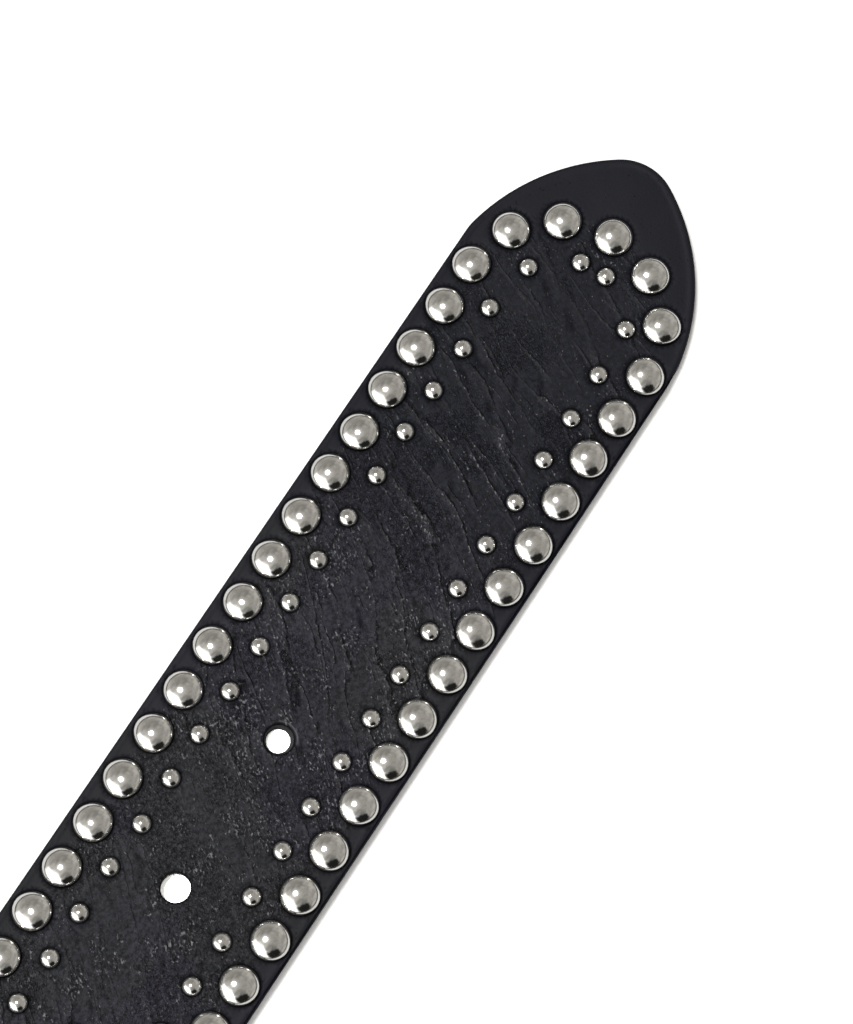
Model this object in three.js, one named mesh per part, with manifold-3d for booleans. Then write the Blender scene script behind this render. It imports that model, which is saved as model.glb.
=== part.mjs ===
// A studded leather belt, laid out flat and straight.
// Millimetres, +Z up, resting on z = 0. The pointed end is towards +X, the buckle towards -X.
// Lengths along the belt are first measured from the centre of the pointed end's arc of studs.
// The whole belt is moved at the end, so that its origin is under the middle of its length.

import * as THREE from 'three';
import { mergeVertices } from 'three/addons/utils/BufferGeometryUtils.js';
import Module from 'manifold-3d';

// Leather
const STRAP_WIDTH = 40;
const STRAP_THICKNESS = 3;
const FOLD_THICKNESS = 2.4; // skived thinner where it turns round the buckle bar
const GAP = 0.3; // left between pieces that touch

// Pointed end: each side is a soft shoulder arc, a long flank arc and the shared nose arc
const SHOULDER_RADIUS = 8.3;
const SHOULDER_TURN = THREE.MathUtils.degToRad(10.8);
const FLANK_RADIUS = 34.4;
const NOSE_RADIUS = 8.7;
const NOSE_X = 20.6;
const NOSE_LEAN = 1.1; // the nose sits a little to the left of the middle line

// Prong holes
const HOLE_DIAMETER = 4.5;
const HOLE_PITCH = 27;
const HOLE_COUNT = 5;
const FIRST_HOLE_X = -79.7;
const BELT_SIZE = 800; // from the buckle bar to the middle hole

// Large dome studs
const STUD_DIAMETER = 6.1;
const STUD_HEIGHT = 1.8;
const STUD_PITCH = 8.1;
const STUD_ROW_Y = 16.2; // each row's distance from the middle line, and the arc's radius
const STUD_ARC_GAPS = 6; // equal steps round the half circle that joins the two rows
const STUD_SIDES = 10;
const STUD_ROOT = 0.4; // how far a stud reaches into the leather
const STUD_SHOULDER = 0.72; // the faceted dome's middle ring, as shares of its radius and height

// Fold round the buckle bar, in distances from the bar
const FLAP_LENGTH = 46;
const LEVEL_BEFORE_STUDS = 4;
const SLOT_WIDTH = 5.2;
const SLOT_REACH = 9;
const RIVET_X = 40;
const RIVET_Y = 9;
const RIVET_POST_DIAMETER = 2.4;

// Keeper loop
const KEEPER_WALL = 1.6;
const KEEPER_WIDTH = 10;
const KEEPER_X = 21; // its middle, from the bar
const KEEPER_SIDE_GAP = 0.7;
const KEEPER_ROOM = 6.5; // height that the studded end has over the strap
const KEEPER_CORNER = 2.4;

// Buckle
const BAR_WIDTH = 3.8;
const FRAME_THICKNESS = 3.6;
const FRAME_SIDE = 4.2;
const FRAME_REACH = 27; // from the heel bar's middle to the front bar's
const FRAME_SIDE_GAP = 0.7;
const FRAME_EDGE = 1.2;
const FRONT_CORNER = 7;
const HEEL_CORNER = 2.4;
const HEEL_INNER_CORNER = 1.4;
const PRONG_WIDTH = 3.4;
const PRONG_THICKNESS = 2.6;
const PRONG_EDGE = 0.5;
const PRONG_EYE_RADIUS = 3.3;
const PRONG_BEND = 12; // it runs straight from here to its nose
const PRONG_NOSE = 4;
const PRONG_OVERHANG = 0.8;

// How finely arcs are divided, in points for each quarter or curve
const FINE = 6;
const COARSE = 3;
const EYE_SIDES = 16;

// How far a cutting shape runs past what it cuts
const SPARE = 2;
const CUT_DEPTH = 60;

// Places that follow from the sizes
const middleHoleX = FIRST_HOLE_X - HOLE_PITCH * (HOLE_COUNT - 1) / 2;
const barX = middleHoleX - BELT_SIZE;
const barRadius = Math.hypot(BAR_WIDTH / 2, FRAME_THICKNESS / 2 - FRAME_EDGE);
const foldInner = barRadius + GAP;
const foldOuter = foldInner + FOLD_THICKNESS;
const barZ = foldOuter;
const keeperFloor = FOLD_THICKNESS + GAP;
const overKeeper = keeperFloor + KEEPER_WALL + GAP;
const overFlap = FOLD_THICKNESS + GAP;
// The frame tilts about the heel bar until the front bar's lowest edge touches the table
const footX = FRAME_REACH + BAR_WIDTH / 2 - FRAME_EDGE;
const footZ = FRAME_THICKNESS / 2;
const frameTilt = Math.asin(barZ / Math.hypot(footX, footZ)) - Math.atan2(footZ, footX);

// The strap's underside beside the buckle, one row for each place where it runs level
const STRAP_LEVELS = [
  { place: 'over the bar', fromBar: 0, under: barZ + foldInner, thickness: FOLD_THICKNESS },
  { place: 'past the prong slot', fromBar: 9, under: barZ + foldInner, thickness: FOLD_THICKNESS },
  { place: 'first edge of the keeper', fromBar: 15.5, under: overKeeper, thickness: STRAP_THICKNESS },
  { place: 'last edge of the keeper', fromBar: 26.5, under: overKeeper, thickness: STRAP_THICKNESS },
  { place: 'down on the flap', fromBar: 33.5, under: overFlap, thickness: STRAP_THICKNESS },
  { place: 'end of the flap', fromBar: 48, under: overFlap, thickness: STRAP_THICKNESS },
  { place: 'down on the table', fromBar: 62, under: 0, thickness: STRAP_THICKNESS },
];

const leather = new THREE.MeshStandardMaterial({ color: 0x26272c, roughness: 0.55, metalness: 0 });
const nickel = new THREE.MeshStandardMaterial({ color: 0xb9b5ad, roughness: 0.18, metalness: 1 });

// Ways to turn a flat outline's own x, y and depth into the belt's axes
const X_AXIS = new THREE.Vector3(1, 0, 0);
const Y_AXIS = new THREE.Vector3(0, 1, 0);
const Z_AXIS = new THREE.Vector3(0, 0, 1);
const SIDE_VIEW = new THREE.Matrix4().makeBasis(X_AXIS, Z_AXIS, Y_AXIS.clone().negate());
const END_VIEW = new THREE.Matrix4().makeBasis(Z_AXIS, Y_AXIS, X_AXIS.clone().negate());

const wasm = await Module();
wasm.setup();

// A closed geometry as a solid that can be joined and cut
function solidOf(geometry) {
  const bare = geometry.clone();
  bare.deleteAttribute('normal');
  bare.deleteAttribute('uv');
  const merged = mergeVertices(bare, 1e-4);
  const corners = merged.index.array;
  const kept = [];
  for (let i = 0; i < corners.length; i += 3) {
    const [a, b, c] = [corners[i], corners[i + 1], corners[i + 2]];
    if (a !== b && b !== c && c !== a) kept.push(a, b, c);
  }
  return new wasm.Manifold(new wasm.Mesh({
    numProp: 3,
    vertProperties: new Float32Array(merged.attributes.position.array),
    triVerts: new Uint32Array(kept),
  }));
}

// A solid back as a geometry
function geometryOf(solid) {
  const mesh = solid.getMesh();
  const geometry = new THREE.BufferGeometry();
  geometry.setAttribute('position', new THREE.BufferAttribute(mesh.vertProperties, 3));
  geometry.setIndex(new THREE.BufferAttribute(mesh.triVerts, 1));
  geometry.computeVertexNormals();
  return geometry;
}

// A flat outline made solid, half of its depth on each side of its plane
function slab(shape, depth, curveSegments, edge = 0) {
  const geometry = new THREE.ExtrudeGeometry(shape, {
    depth: depth - 2 * edge,
    curveSegments,
    bevelEnabled: edge > 0,
    bevelThickness: edge,
    bevelSize: edge,
    bevelOffset: -edge,
    bevelSegments: 2,
  });
  return geometry.translate(0, 0, edge - depth / 2);
}

function rectangle(path, left, right, halfWidth, leftCorner, rightCorner) {
  const quarter = Math.PI / 2;
  path.moveTo(left + leftCorner, -halfWidth);
  path.lineTo(right - rightCorner, -halfWidth);
  path.absarc(right - rightCorner, rightCorner - halfWidth, rightCorner, -quarter, 0);
  path.lineTo(right, halfWidth - rightCorner);
  path.absarc(right - rightCorner, halfWidth - rightCorner, rightCorner, 0, quarter);
  path.lineTo(left + leftCorner, halfWidth);
  path.absarc(left + leftCorner, halfWidth - leftCorner, leftCorner, quarter, 2 * quarter);
  path.lineTo(left, leftCorner - halfWidth);
  path.absarc(left + leftCorner, leftCorner - halfWidth, leftCorner, 2 * quarter, 3 * quarter);
  return path;
}

// One side of the pointed end: where its three arcs have their centres and how far they turn
function pointedSide(lean) {
  const half = STRAP_WIDTH / 2;
  const shoulderToFlank = FLANK_RADIUS - SHOULDER_RADIUS;
  const flankToNose = FLANK_RADIUS - NOSE_RADIUS;
  const flankY = half - SHOULDER_RADIUS - shoulderToFlank * Math.cos(SHOULDER_TURN);
  const noseTurn = Math.acos((lean - flankY) / flankToNose);
  const flankX = NOSE_X - flankToNose * Math.sin(noseTurn);
  const shoulderX = flankX + shoulderToFlank * Math.sin(SHOULDER_TURN);
  return { flankX, flankY, shoulderX, shoulderY: half - SHOULDER_RADIUS, noseTurn };
}

// The strap from above, with its pointed end and prong holes
function strapOutline() {
  const quarter = Math.PI / 2;
  const half = STRAP_WIDTH / 2;
  const left = pointedSide(NOSE_LEAN);
  const right = pointedSide(-NOSE_LEAN);
  const shape = new THREE.Shape();
  shape.moveTo(barX - foldOuter - SPARE, -half);
  shape.lineTo(right.shoulderX, -half);
  shape.absarc(right.shoulderX, -right.shoulderY, SHOULDER_RADIUS, -quarter, SHOULDER_TURN - quarter);
  shape.absarc(
    right.flankX, -right.flankY, FLANK_RADIUS, SHOULDER_TURN - quarter, right.noseTurn - quarter,
  );
  shape.absarc(NOSE_X, NOSE_LEAN, NOSE_RADIUS, right.noseTurn - quarter, quarter - left.noseTurn);
  shape.absarc(left.flankX, left.flankY, FLANK_RADIUS, quarter - left.noseTurn, quarter - SHOULDER_TURN);
  shape.absarc(left.shoulderX, left.shoulderY, SHOULDER_RADIUS, quarter - SHOULDER_TURN, quarter);
  shape.lineTo(barX - foldOuter - SPARE, half);
  shape.closePath();
  for (let i = 0; i < HOLE_COUNT; i += 1) {
    const hole = new THREE.Path();
    hole.absarc(FIRST_HOLE_X - HOLE_PITCH * i, 0, HOLE_DIAMETER / 2, 0, 2 * Math.PI);
    shape.holes.push(hole);
  }
  return shape;
}

// A smooth rise or fall that starts and ends level
function ease(path, from, to) {
  const middle = (from.x + to.x) / 2;
  path.bezierCurveTo(middle, from.y, middle, to.y, to.x, to.y);
}

// The strap from the side: along the top, round the bar, back along the flap and the underside
function strapProfile() {
  const quarter = Math.PI / 2;
  const beyondTip = NOSE_X + NOSE_RADIUS + SPARE;
  const under = STRAP_LEVELS.map((row) => new THREE.Vector2(barX + row.fromBar, row.under));
  const over = STRAP_LEVELS.map((row, i) => new THREE.Vector2(under[i].x, row.under + row.thickness));
  const last = STRAP_LEVELS.length - 1;
  const shape = new THREE.Shape();
  shape.moveTo(beyondTip, 0);
  shape.lineTo(beyondTip, STRAP_THICKNESS);
  shape.lineTo(over[last].x, over[last].y);
  for (let i = last; i > 0; i -= 1) ease(shape, over[i], over[i - 1]);
  shape.absarc(barX, barZ, foldOuter, quarter, 3 * quarter);
  shape.lineTo(barX + FLAP_LENGTH, 0);
  shape.lineTo(barX + FLAP_LENGTH, FOLD_THICKNESS);
  shape.lineTo(barX, FOLD_THICKNESS);
  shape.absarc(barX, barZ, foldInner, 3 * quarter, quarter, true);
  for (let i = 0; i < last; i += 1) ease(shape, under[i], under[i + 1]);
  shape.closePath();
  return shape;
}

// A dome stud standing on z = 0, with a root that sinks into the leather
function studGeometry() {
  const radius = STUD_DIAMETER / 2;
  const ringRadius = radius * STUD_SHOULDER;
  const ringHeight = STUD_HEIGHT * STUD_SHOULDER;
  const rootRadius = radius + STUD_ROOT * (radius - ringRadius) / ringHeight;
  const profile = [
    new THREE.Vector2(0, -STUD_ROOT),
    new THREE.Vector2(rootRadius, -STUD_ROOT),
    new THREE.Vector2(ringRadius, ringHeight),
    new THREE.Vector2(0, STUD_HEIGHT),
  ];
  return new THREE.LatheGeometry(profile, STUD_SIDES).rotateX(Math.PI / 2);
}

// Where the large studs stand: both straight rows, then the arc round the pointed end
function studPlaces() {
  const places = [];
  const rowEnd = barX + STRAP_LEVELS.at(-1).fromBar + LEVEL_BEFORE_STUDS;
  for (let x = 0; x >= rowEnd; x -= STUD_PITCH) {
    places.push([x, STUD_ROW_Y], [x, -STUD_ROW_Y]);
  }
  for (let i = 1; i < STUD_ARC_GAPS; i += 1) {
    const angle = Math.PI * (i / STUD_ARC_GAPS - 0.5);
    places.push([STUD_ROW_Y * Math.cos(angle), STUD_ROW_Y * Math.sin(angle)]);
  }
  return places;
}

function strapGeometry() {
  const side = slab(strapProfile(), STRAP_WIDTH + 2 * SPARE, FINE).applyMatrix4(SIDE_VIEW);
  const plan = slab(strapOutline(), CUT_DEPTH, FINE);
  const slotStart = barX - foldOuter - SPARE;
  const slotShape = rectangle(
    new THREE.Shape(), slotStart, barX + SLOT_REACH, SLOT_WIDTH / 2, SPARE / 2, SLOT_WIDTH / 2,
  );
  const slot = slab(slotShape, CUT_DEPTH, COARSE);
  let strap = solidOf(side).intersect(solidOf(plan)).subtract(solidOf(slot));
  const dome = studGeometry();
  for (const [x, y] of studPlaces()) {
    strap = strap.add(solidOf(dome.clone().translate(x, y, STRAP_THICKNESS)));
  }
  const postTop = overFlap + STRAP_THICKNESS - STUD_ROOT / 2;
  const postLength = postTop - FOLD_THICKNESS / 2;
  const post = new THREE.CylinderGeometry(
    RIVET_POST_DIAMETER / 2, RIVET_POST_DIAMETER / 2, postLength, STUD_SIDES,
  ).rotateX(Math.PI / 2);
  for (const y of [-RIVET_Y, RIVET_Y]) {
    const x = barX + RIVET_X;
    strap = strap.add(solidOf(dome.clone().translate(x, y, overFlap + STRAP_THICKNESS)));
    strap = strap.add(solidOf(post.clone().translate(x, y, postTop - postLength / 2)));
  }
  return geometryOf(strap);
}

// The loop in its own frame: its middle in x and y, its underside at z = 0
function keeperGeometry() {
  const innerHalf = STRAP_WIDTH / 2 + KEEPER_SIDE_GAP;
  const outerHalf = innerHalf + KEEPER_WALL;
  const room = GAP + STRAP_THICKNESS + KEEPER_ROOM;
  const innerCorner = KEEPER_CORNER - KEEPER_WALL;
  const shape = rectangle(
    new THREE.Shape(), 0, room + 2 * KEEPER_WALL, outerHalf, KEEPER_CORNER, KEEPER_CORNER,
  );
  shape.holes.push(rectangle(
    new THREE.Path(), KEEPER_WALL, KEEPER_WALL + room, innerHalf, innerCorner, innerCorner,
  ));
  return slab(shape, KEEPER_WIDTH, COARSE).applyMatrix4(END_VIEW);
}

// The prong from the side, resting over the front bar and rooted in its eye on the heel bar
function prongProfile() {
  const bottom = FRAME_THICKNESS / 2 + GAP;
  const top = bottom + PRONG_THICKNESS;
  const tip = -(FRAME_REACH + BAR_WIDTH / 2 + PRONG_OVERHANG);
  const third = PRONG_BEND / 3;
  const shape = new THREE.Shape();
  shape.moveTo(0, 0);
  shape.lineTo(0, PRONG_EYE_RADIUS);
  shape.bezierCurveTo(-third, PRONG_EYE_RADIUS, -2 * third, top, -PRONG_BEND, top);
  shape.lineTo(tip + PRONG_NOSE, top);
  shape.quadraticCurveTo(tip, top, tip, bottom);
  shape.lineTo(-PRONG_BEND, bottom);
  shape.bezierCurveTo(-2 * third, bottom, -third, 0, 0, 0);
  shape.closePath();
  return shape;
}

// The buckle about the middle of its heel bar, its frame reaching towards -X
function buckleGeometry() {
  const innerHalf = STRAP_WIDTH / 2 + FRAME_SIDE_GAP;
  const halfBar = BAR_WIDTH / 2;
  const shape = rectangle(
    new THREE.Shape(), -FRAME_REACH - halfBar, halfBar, innerHalf + FRAME_SIDE, FRONT_CORNER, HEEL_CORNER,
  );
  shape.holes.push(rectangle(
    new THREE.Path(), -FRAME_REACH + halfBar, -halfBar, innerHalf, FRONT_CORNER - BAR_WIDTH,
    HEEL_INNER_CORNER,
  ));
  const frame = solidOf(slab(shape, FRAME_THICKNESS, COARSE, FRAME_EDGE));
  const prong = solidOf(slab(prongProfile(), PRONG_WIDTH, COARSE, PRONG_EDGE).applyMatrix4(SIDE_VIEW));
  const eye = solidOf(new THREE.CylinderGeometry(
    PRONG_EYE_RADIUS, PRONG_EYE_RADIUS, PRONG_WIDTH, EYE_SIDES,
  ));
  return geometryOf(frame.add(eye).add(prong));
}

function named(name, geometry, material) {
  const mesh = new THREE.Mesh(geometry, material);
  mesh.name = name;
  return mesh;
}

const strap = named('strap', strapGeometry(), leather);

const keeper = named('keeper_loop', keeperGeometry(), leather);
keeper.position.set(barX + KEEPER_X, 0, keeperFloor);

const buckle = named('buckle', buckleGeometry(), nickel);
buckle.position.set(barX, 0, barZ);
buckle.rotation.y = -frameTilt;

const belt = new THREE.Group();
belt.add(strap, keeper, buckle);
belt.updateMatrixWorld(true);
const extent = new THREE.Box3().setFromObject(belt, true);
belt.position.set(-(extent.min.x + extent.max.x) / 2, 0, 0);

export default belt;
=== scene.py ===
"""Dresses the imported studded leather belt.

The leather, the dome studs, the buckle and the keeper are built in mesh code round the
fixed frame. Sizes are in millimetres, in the frame's own axes: x runs along the belt to
its pointed end, y to the left of it and z up. Meshes are written in metres.
"""

import logging
import math
from collections.abc import Callable
from dataclasses import dataclass, field
from enum import Enum

import bpy
import bmesh
import numpy as np
from mathutils import Matrix, Vector
from mathutils.geometry import delaunay_2d_cdt


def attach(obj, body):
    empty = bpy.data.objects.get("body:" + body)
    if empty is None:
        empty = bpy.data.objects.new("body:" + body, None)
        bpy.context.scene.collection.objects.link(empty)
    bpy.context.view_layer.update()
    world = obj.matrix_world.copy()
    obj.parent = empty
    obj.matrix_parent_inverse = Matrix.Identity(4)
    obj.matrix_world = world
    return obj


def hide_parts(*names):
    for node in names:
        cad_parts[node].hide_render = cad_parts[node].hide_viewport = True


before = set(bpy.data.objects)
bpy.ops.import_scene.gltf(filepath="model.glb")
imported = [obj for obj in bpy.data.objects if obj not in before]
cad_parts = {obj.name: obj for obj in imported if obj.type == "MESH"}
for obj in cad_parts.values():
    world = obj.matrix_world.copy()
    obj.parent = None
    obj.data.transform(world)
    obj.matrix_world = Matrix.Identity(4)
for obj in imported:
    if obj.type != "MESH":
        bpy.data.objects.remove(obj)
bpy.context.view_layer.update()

MM = 0.001
TIP_X = 467.083  # middle of the arc of studs at the pointed end
BAR_X = -466.617  # middle of the buckle's heel bar
FINE_FROM = TIP_X - 150  # the meshes are finer beyond this x, where the camera is near
SEED = 11
LOG = logging.getLogger("belt")
Colour = tuple[float, float, float, float]
Pair = tuple[float, float]
Material = bpy.types.Material
Piece = bpy.types.Object
Socket = bpy.types.NodeSocket


# Meshes


class MeshDraft:
    """Gathers the points, faces, material numbers and point fields of one mesh, in millimetres."""

    def __init__(self) -> None:
        """Starts an empty draft."""
        self.points: list[np.ndarray] = []
        self.faces: list[list[int]] = []
        self.slots: list[int] = []
        self.fields: dict[str, list[np.ndarray]] = {}
        self.count = 0

    def add_points(self, points: np.ndarray, **fields: np.ndarray) -> np.ndarray:
        """Adds points with their fields.

        Args:
            points: Rows of x, y and z.
            fields: One value for each point, by the field's name.

        Returns:
            The points' numbers in the draft.
        """
        first = self.count
        self.points.append(np.asarray(points, float))
        self.count += len(points)
        for name, values in fields.items():
            self.fields.setdefault(name, []).append(values)
        return np.arange(first, self.count)

    def add_faces(self, faces: np.ndarray | list, slot: int | list[int] = 0) -> None:
        """Adds faces.

        Args:
            faces: Rows of point numbers, all of one length.
            slot: The faces' material number, or one for each of them.
        """
        rows = np.asarray(faces).tolist()
        self.faces.extend(rows)
        self.slots.extend([slot] * len(rows) if isinstance(slot, int) else slot)

    def band(self, low: np.ndarray, high: np.ndarray, slot: int | list[int] = 0) -> None:
        """Joins two closed rows of points of the same count with four-sided faces."""
        self.add_faces(np.column_stack([low, np.roll(low, -1), np.roll(high, -1), high]), slot)

    def tube(self, rows: list[np.ndarray], slot: int | list[int] = 0) -> None:
        """Joins closed rows of points into a ring, the last one to the first."""
        for row, following in zip(rows, rows[1:] + rows[:1]):
            self.band(row, following, slot)

    def to_object(self, name: str, materials: list[Material]) -> Piece:
        """Writes the draft as a smooth-shaded object.

        Args:
            name: The piece's name.
            materials: One material for each number that the faces use.

        Returns:
            The new object, linked to the scene.
        """
        mesh = bpy.data.meshes.new(name)
        mesh.from_pydata(np.concatenate(self.points) * MM, [], self.faces)
        for material in materials:
            mesh.materials.append(material)
        mesh.polygons.foreach_set("material_index", self.slots)
        mesh.polygons.foreach_set("use_smooth", [True] * len(self.faces))
        for field_name, parts in self.fields.items():
            layer = mesh.attributes.new(field_name, "FLOAT", "POINT")
            layer.data.foreach_set("value", np.concatenate(parts))
        shell = bmesh.new()
        shell.from_mesh(mesh)
        bmesh.ops.recalc_face_normals(shell, faces=shell.faces)
        shell.to_mesh(mesh)
        shell.free()
        piece = bpy.data.objects.new(name, mesh)
        bpy.context.scene.collection.objects.link(piece)
        return piece


@dataclass(frozen=True)
class LatticeNoise:
    """Smooth random heights from -1 to 1 on a square lattice."""

    cell: float
    seed: int

    def __call__(self, x: np.ndarray, y: np.ndarray) -> np.ndarray:
        """Gives the height at each x and y.

        Args:
            x: Places along x.
            y: Places along y.

        Returns:
            The heights.
        """
        table = np.random.default_rng(self.seed).uniform(-1, 1, 4096)
        gx, gy = np.asarray(x) / self.cell, np.asarray(y) / self.cell
        ix, iy = np.floor(gx).astype(np.int64), np.floor(gy).astype(np.int64)
        sx, sy = smooth(gx - ix), smooth(gy - iy)

        def knot(dx: int, dy: int) -> np.ndarray:
            """Gives the value at one corner of each cell, picked by way of two large primes."""
            return table[((ix + dx) * 73856093 ^ (iy + dy) * 19349663) & 4095]

        low = knot(0, 0) * (1 - sx) + knot(1, 0) * sx
        high = knot(0, 1) * (1 - sx) + knot(1, 1) * sx
        return low * (1 - sy) + high * sy


def smooth(share: np.ndarray | float) -> np.ndarray | float:
    """Eases a share from 0 to 1 in and out."""
    return share * share * (3 - 2 * share)


def bell(off: np.ndarray, width: float) -> np.ndarray:
    """Gives 1 where off is 0, falling away smoothly on both sides."""
    return np.exp(-((off / width) ** 2))


def by_parts(work: Callable[[np.ndarray], np.ndarray], points: np.ndarray, size: int = 4000) -> np.ndarray:
    """Runs work on some points at a time, which saves memory, and joins what it gives."""
    return np.concatenate([work(points[start:start + size]) for start in range(0, len(points), size)])


def nearest(points: np.ndarray, centres: np.ndarray) -> np.ndarray:
    """Gives each point's distance to the nearest centre, both given as rows of x and y."""
    return by_parts(lambda part: np.sqrt(((part[:, None] - centres) ** 2).sum(axis=2).min(axis=1)), points)


def inside_depth(points: np.ndarray, edge: np.ndarray, normals: np.ndarray) -> np.ndarray:
    """Gives each point's distance inside a convex outline.

    Args:
        points: Rows of x and y.
        edge: The outline's points.
        normals: Their outward normals.

    Returns:
        The distances, negative outside.
    """
    offset = (edge * normals).sum(axis=1)
    return by_parts(lambda part: (offset - part @ normals.T).min(axis=1), points)


def circle(centre: Pair, radius: float, count: int) -> np.ndarray:
    """Gives count points on a circle as rows of x and y."""
    turn = np.arange(count) * 2 * math.pi / count
    return np.column_stack([centre[0] + radius * np.cos(turn), centre[1] + radius * np.sin(turn)])


# The strap's plan and path


@dataclass(frozen=True)
class PlanOutline:
    """The strap's outline laid flat, from the end of the fold's flap to the pointed end."""

    half: float = 20.0
    shoulder_radius: float = 8.3
    shoulder_turn: float = math.radians(10.8)
    flank_radius: float = 34.4
    nose_radius: float = 8.7
    nose_x: float = 20.6
    nose_lean: float = 1.1
    tail_x: float = -523.587
    tail_corner: float = 2.5
    fine_step: float = 0.62
    coarse_step: float = 1.7

    def arcs(self) -> list[tuple[float, float, float, float, float]]:
        """Lists the outline's arcs.

        Returns:
            Each arc's middle x and y, its radius, and the turns of its first and last normal,
            counted from +y towards +x. They run clockwise from the left side.
        """
        shoulder, half_turn = self.shoulder_turn, math.pi
        over, reach = self.flank_radius - self.shoulder_radius, self.flank_radius - self.nose_radius
        inner = self.half - self.shoulder_radius
        flank_y = inner - over * math.cos(shoulder)
        sides = []
        for lean in (self.nose_lean, -self.nose_lean):
            turn = math.acos((lean - flank_y) / reach)
            flank_x = self.nose_x - reach * math.sin(turn)
            sides.append((turn, TIP_X + flank_x, TIP_X + (flank_x + over * math.sin(shoulder))))
        (left, flank_x, shoulder_x), (right, far_x, far_shoulder) = sides
        corner_x, corner_y = self.tail_x + self.tail_corner, self.half - self.tail_corner
        return [
            (shoulder_x, inner, self.shoulder_radius, 0, shoulder),
            (flank_x, flank_y, self.flank_radius, shoulder, left),
            (TIP_X + self.nose_x, self.nose_lean, self.nose_radius, left, half_turn - right),
            (far_x, -flank_y, self.flank_radius, half_turn - right, half_turn - shoulder),
            (far_shoulder, -inner, self.shoulder_radius, half_turn - shoulder, half_turn),
            (corner_x, -corner_y, self.tail_corner, half_turn, 1.5 * half_turn),
            (corner_x, corner_y, self.tail_corner, 1.5 * half_turn, 2 * half_turn),
        ]

    def side(self, start: float, end: float) -> np.ndarray:
        """Spaces points between two x of a straight side, finer in the pointed end.

        Args:
            start: The first x.
            end: The last x.

        Returns:
            The x of each point.
        """
        low, high = min(start, end), max(start, end)
        coarse = np.linspace(low, FINE_FROM, round((FINE_FROM - low) / self.coarse_step), endpoint=False)
        fine = np.linspace(FINE_FROM, high, round((high - FINE_FROM) / self.fine_step))
        spots = np.concatenate([coarse, fine])
        return spots if start < end else spots[::-1]

    def trace(self) -> tuple[np.ndarray, np.ndarray]:
        """Walks once round the outline.

        Returns:
            The points and their outward normals, as rows of x and y.
        """
        rows: list[tuple[float, ...]] = []
        arcs = self.arcs()
        last_of_tip = 4
        for number, (x, y, radius, start, end) in enumerate(arcs):
            step = self.fine_step if number <= last_of_tip else self.tail_corner / 4
            count = max(4, round(radius * abs(end - start) / step))
            for turn in np.linspace(start, end, count, endpoint=False):
                out_x, out_y = math.sin(turn), math.cos(turn)
                rows.append((x + radius * out_x, y + radius * out_y, out_x, out_y))
            if number == last_of_tip:
                rows.extend((spot, -self.half, 0.0, -1.0) for spot in self.side(x, arcs[number + 1][0])[:-1])
        rows.extend((spot, self.half, 0.0, 1.0) for spot in self.side(arcs[-1][0], arcs[0][0])[:-1])
        table = np.array(rows)
        return table[:, :2].copy(), table[:, 2:].copy()


@dataclass(frozen=True)
class StrapPath:
    """How the flat strap lies: level, stepping up over its own flap, and round the buckle's bar.

    Each level is a distance from the bar, the underside's height there and the thickness.
    """

    bar_z: float = 4.692
    inner: float = 2.292
    outer: float = 4.692
    levels: tuple[tuple[float, float, float], ...] = (
        (0, 6.984, 2.4), (9, 6.984, 2.4), (15.5, 4.6, 3), (26.5, 4.6, 3),
        (33.5, 2.7, 3), (48, 2.7, 3), (62, 0, 3),
    )

    @property
    def middle(self) -> float:
        """The radius of the fold's mid layer, which keeps its length."""
        return (self.inner + self.outer) / 2

    def surfaces(self, x: np.ndarray) -> tuple[np.ndarray, np.ndarray]:
        """Finds the strap's two surfaces at flat places along it.

        Args:
            x: Flat places, which go on round the fold below the bar's x.

        Returns:
            The grain side's and the flesh side's x and z, as rows.
        """
        x = np.asarray(x, float)
        grain = np.empty((len(x), 2))
        flesh = np.empty((len(x), 2))
        flat = x >= BAR_X
        from_bar = x[flat] - BAR_X
        under = np.zeros(flat.sum())
        thick = np.full(flat.sum(), self.levels[-1][2])
        t = np.linspace(0, 1, 65)
        for (x0, z0, t0), (x1, z1, t1) in zip(self.levels, self.levels[1:]):
            here = (from_bar >= x0) & (from_bar <= x1)
            share = np.interp((from_bar[here] - x0) / (x1 - x0), 1.5 * t * (1 - t) + t**3, smooth(t))
            under[here] = z0 + (z1 - z0) * share
            thick[here] = t0 + (t1 - t0) * share
        flesh[flat] = np.column_stack([x[flat], under])
        grain[flat] = np.column_stack([x[flat], under + thick])
        turn = np.clip((BAR_X - x[~flat]) / self.middle, 0, math.pi)
        rest = np.maximum(BAR_X - math.pi * self.middle - x[~flat], 0)
        for rows, radius in ((grain, self.outer), (flesh, self.inner)):
            rows[~flat, 0] = BAR_X - radius * np.sin(turn) + rest
            rows[~flat, 1] = self.bar_z + radius * np.cos(turn)
        return grain, flesh

    def place(self, flat: np.ndarray, lift: np.ndarray, flesh_side: bool = False) -> np.ndarray:
        """Puts flat points on one surface of the strap.

        Args:
            flat: Rows of flat x and y.
            lift: How far each point stands out of that surface.
            flesh_side: Whether the surface is the flesh side.

        Returns:
            Rows of x, y and z.
        """
        grain, flesh = self.surfaces(flat[:, 0])
        here, other = (flesh, grain) if flesh_side else (grain, flesh)
        out = here - other
        out /= np.linalg.norm(out, axis=1, keepdims=True)
        spot = here + out * lift[:, None]
        return np.column_stack([spot[:, 0], flat[:, 1], spot[:, 1]])


# Studs and holes


@dataclass(frozen=True)
class Hole:
    """A punched prong hole.

    Its top and bottom are the radii of its two rims, and its slant is how far the lower one
    lies off in y.
    """

    x: float
    y: float = 0.0
    top: float = 2.28
    bottom: float = 2.3
    slant: float = 0.1

    def rim(self, flesh_side: bool) -> tuple[Pair, float]:
        """Gives the middle and the radius of the rim on one surface."""
        if flesh_side:
            return (self.x, self.y + self.slant), self.bottom
        return (self.x, self.y), self.top


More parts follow.
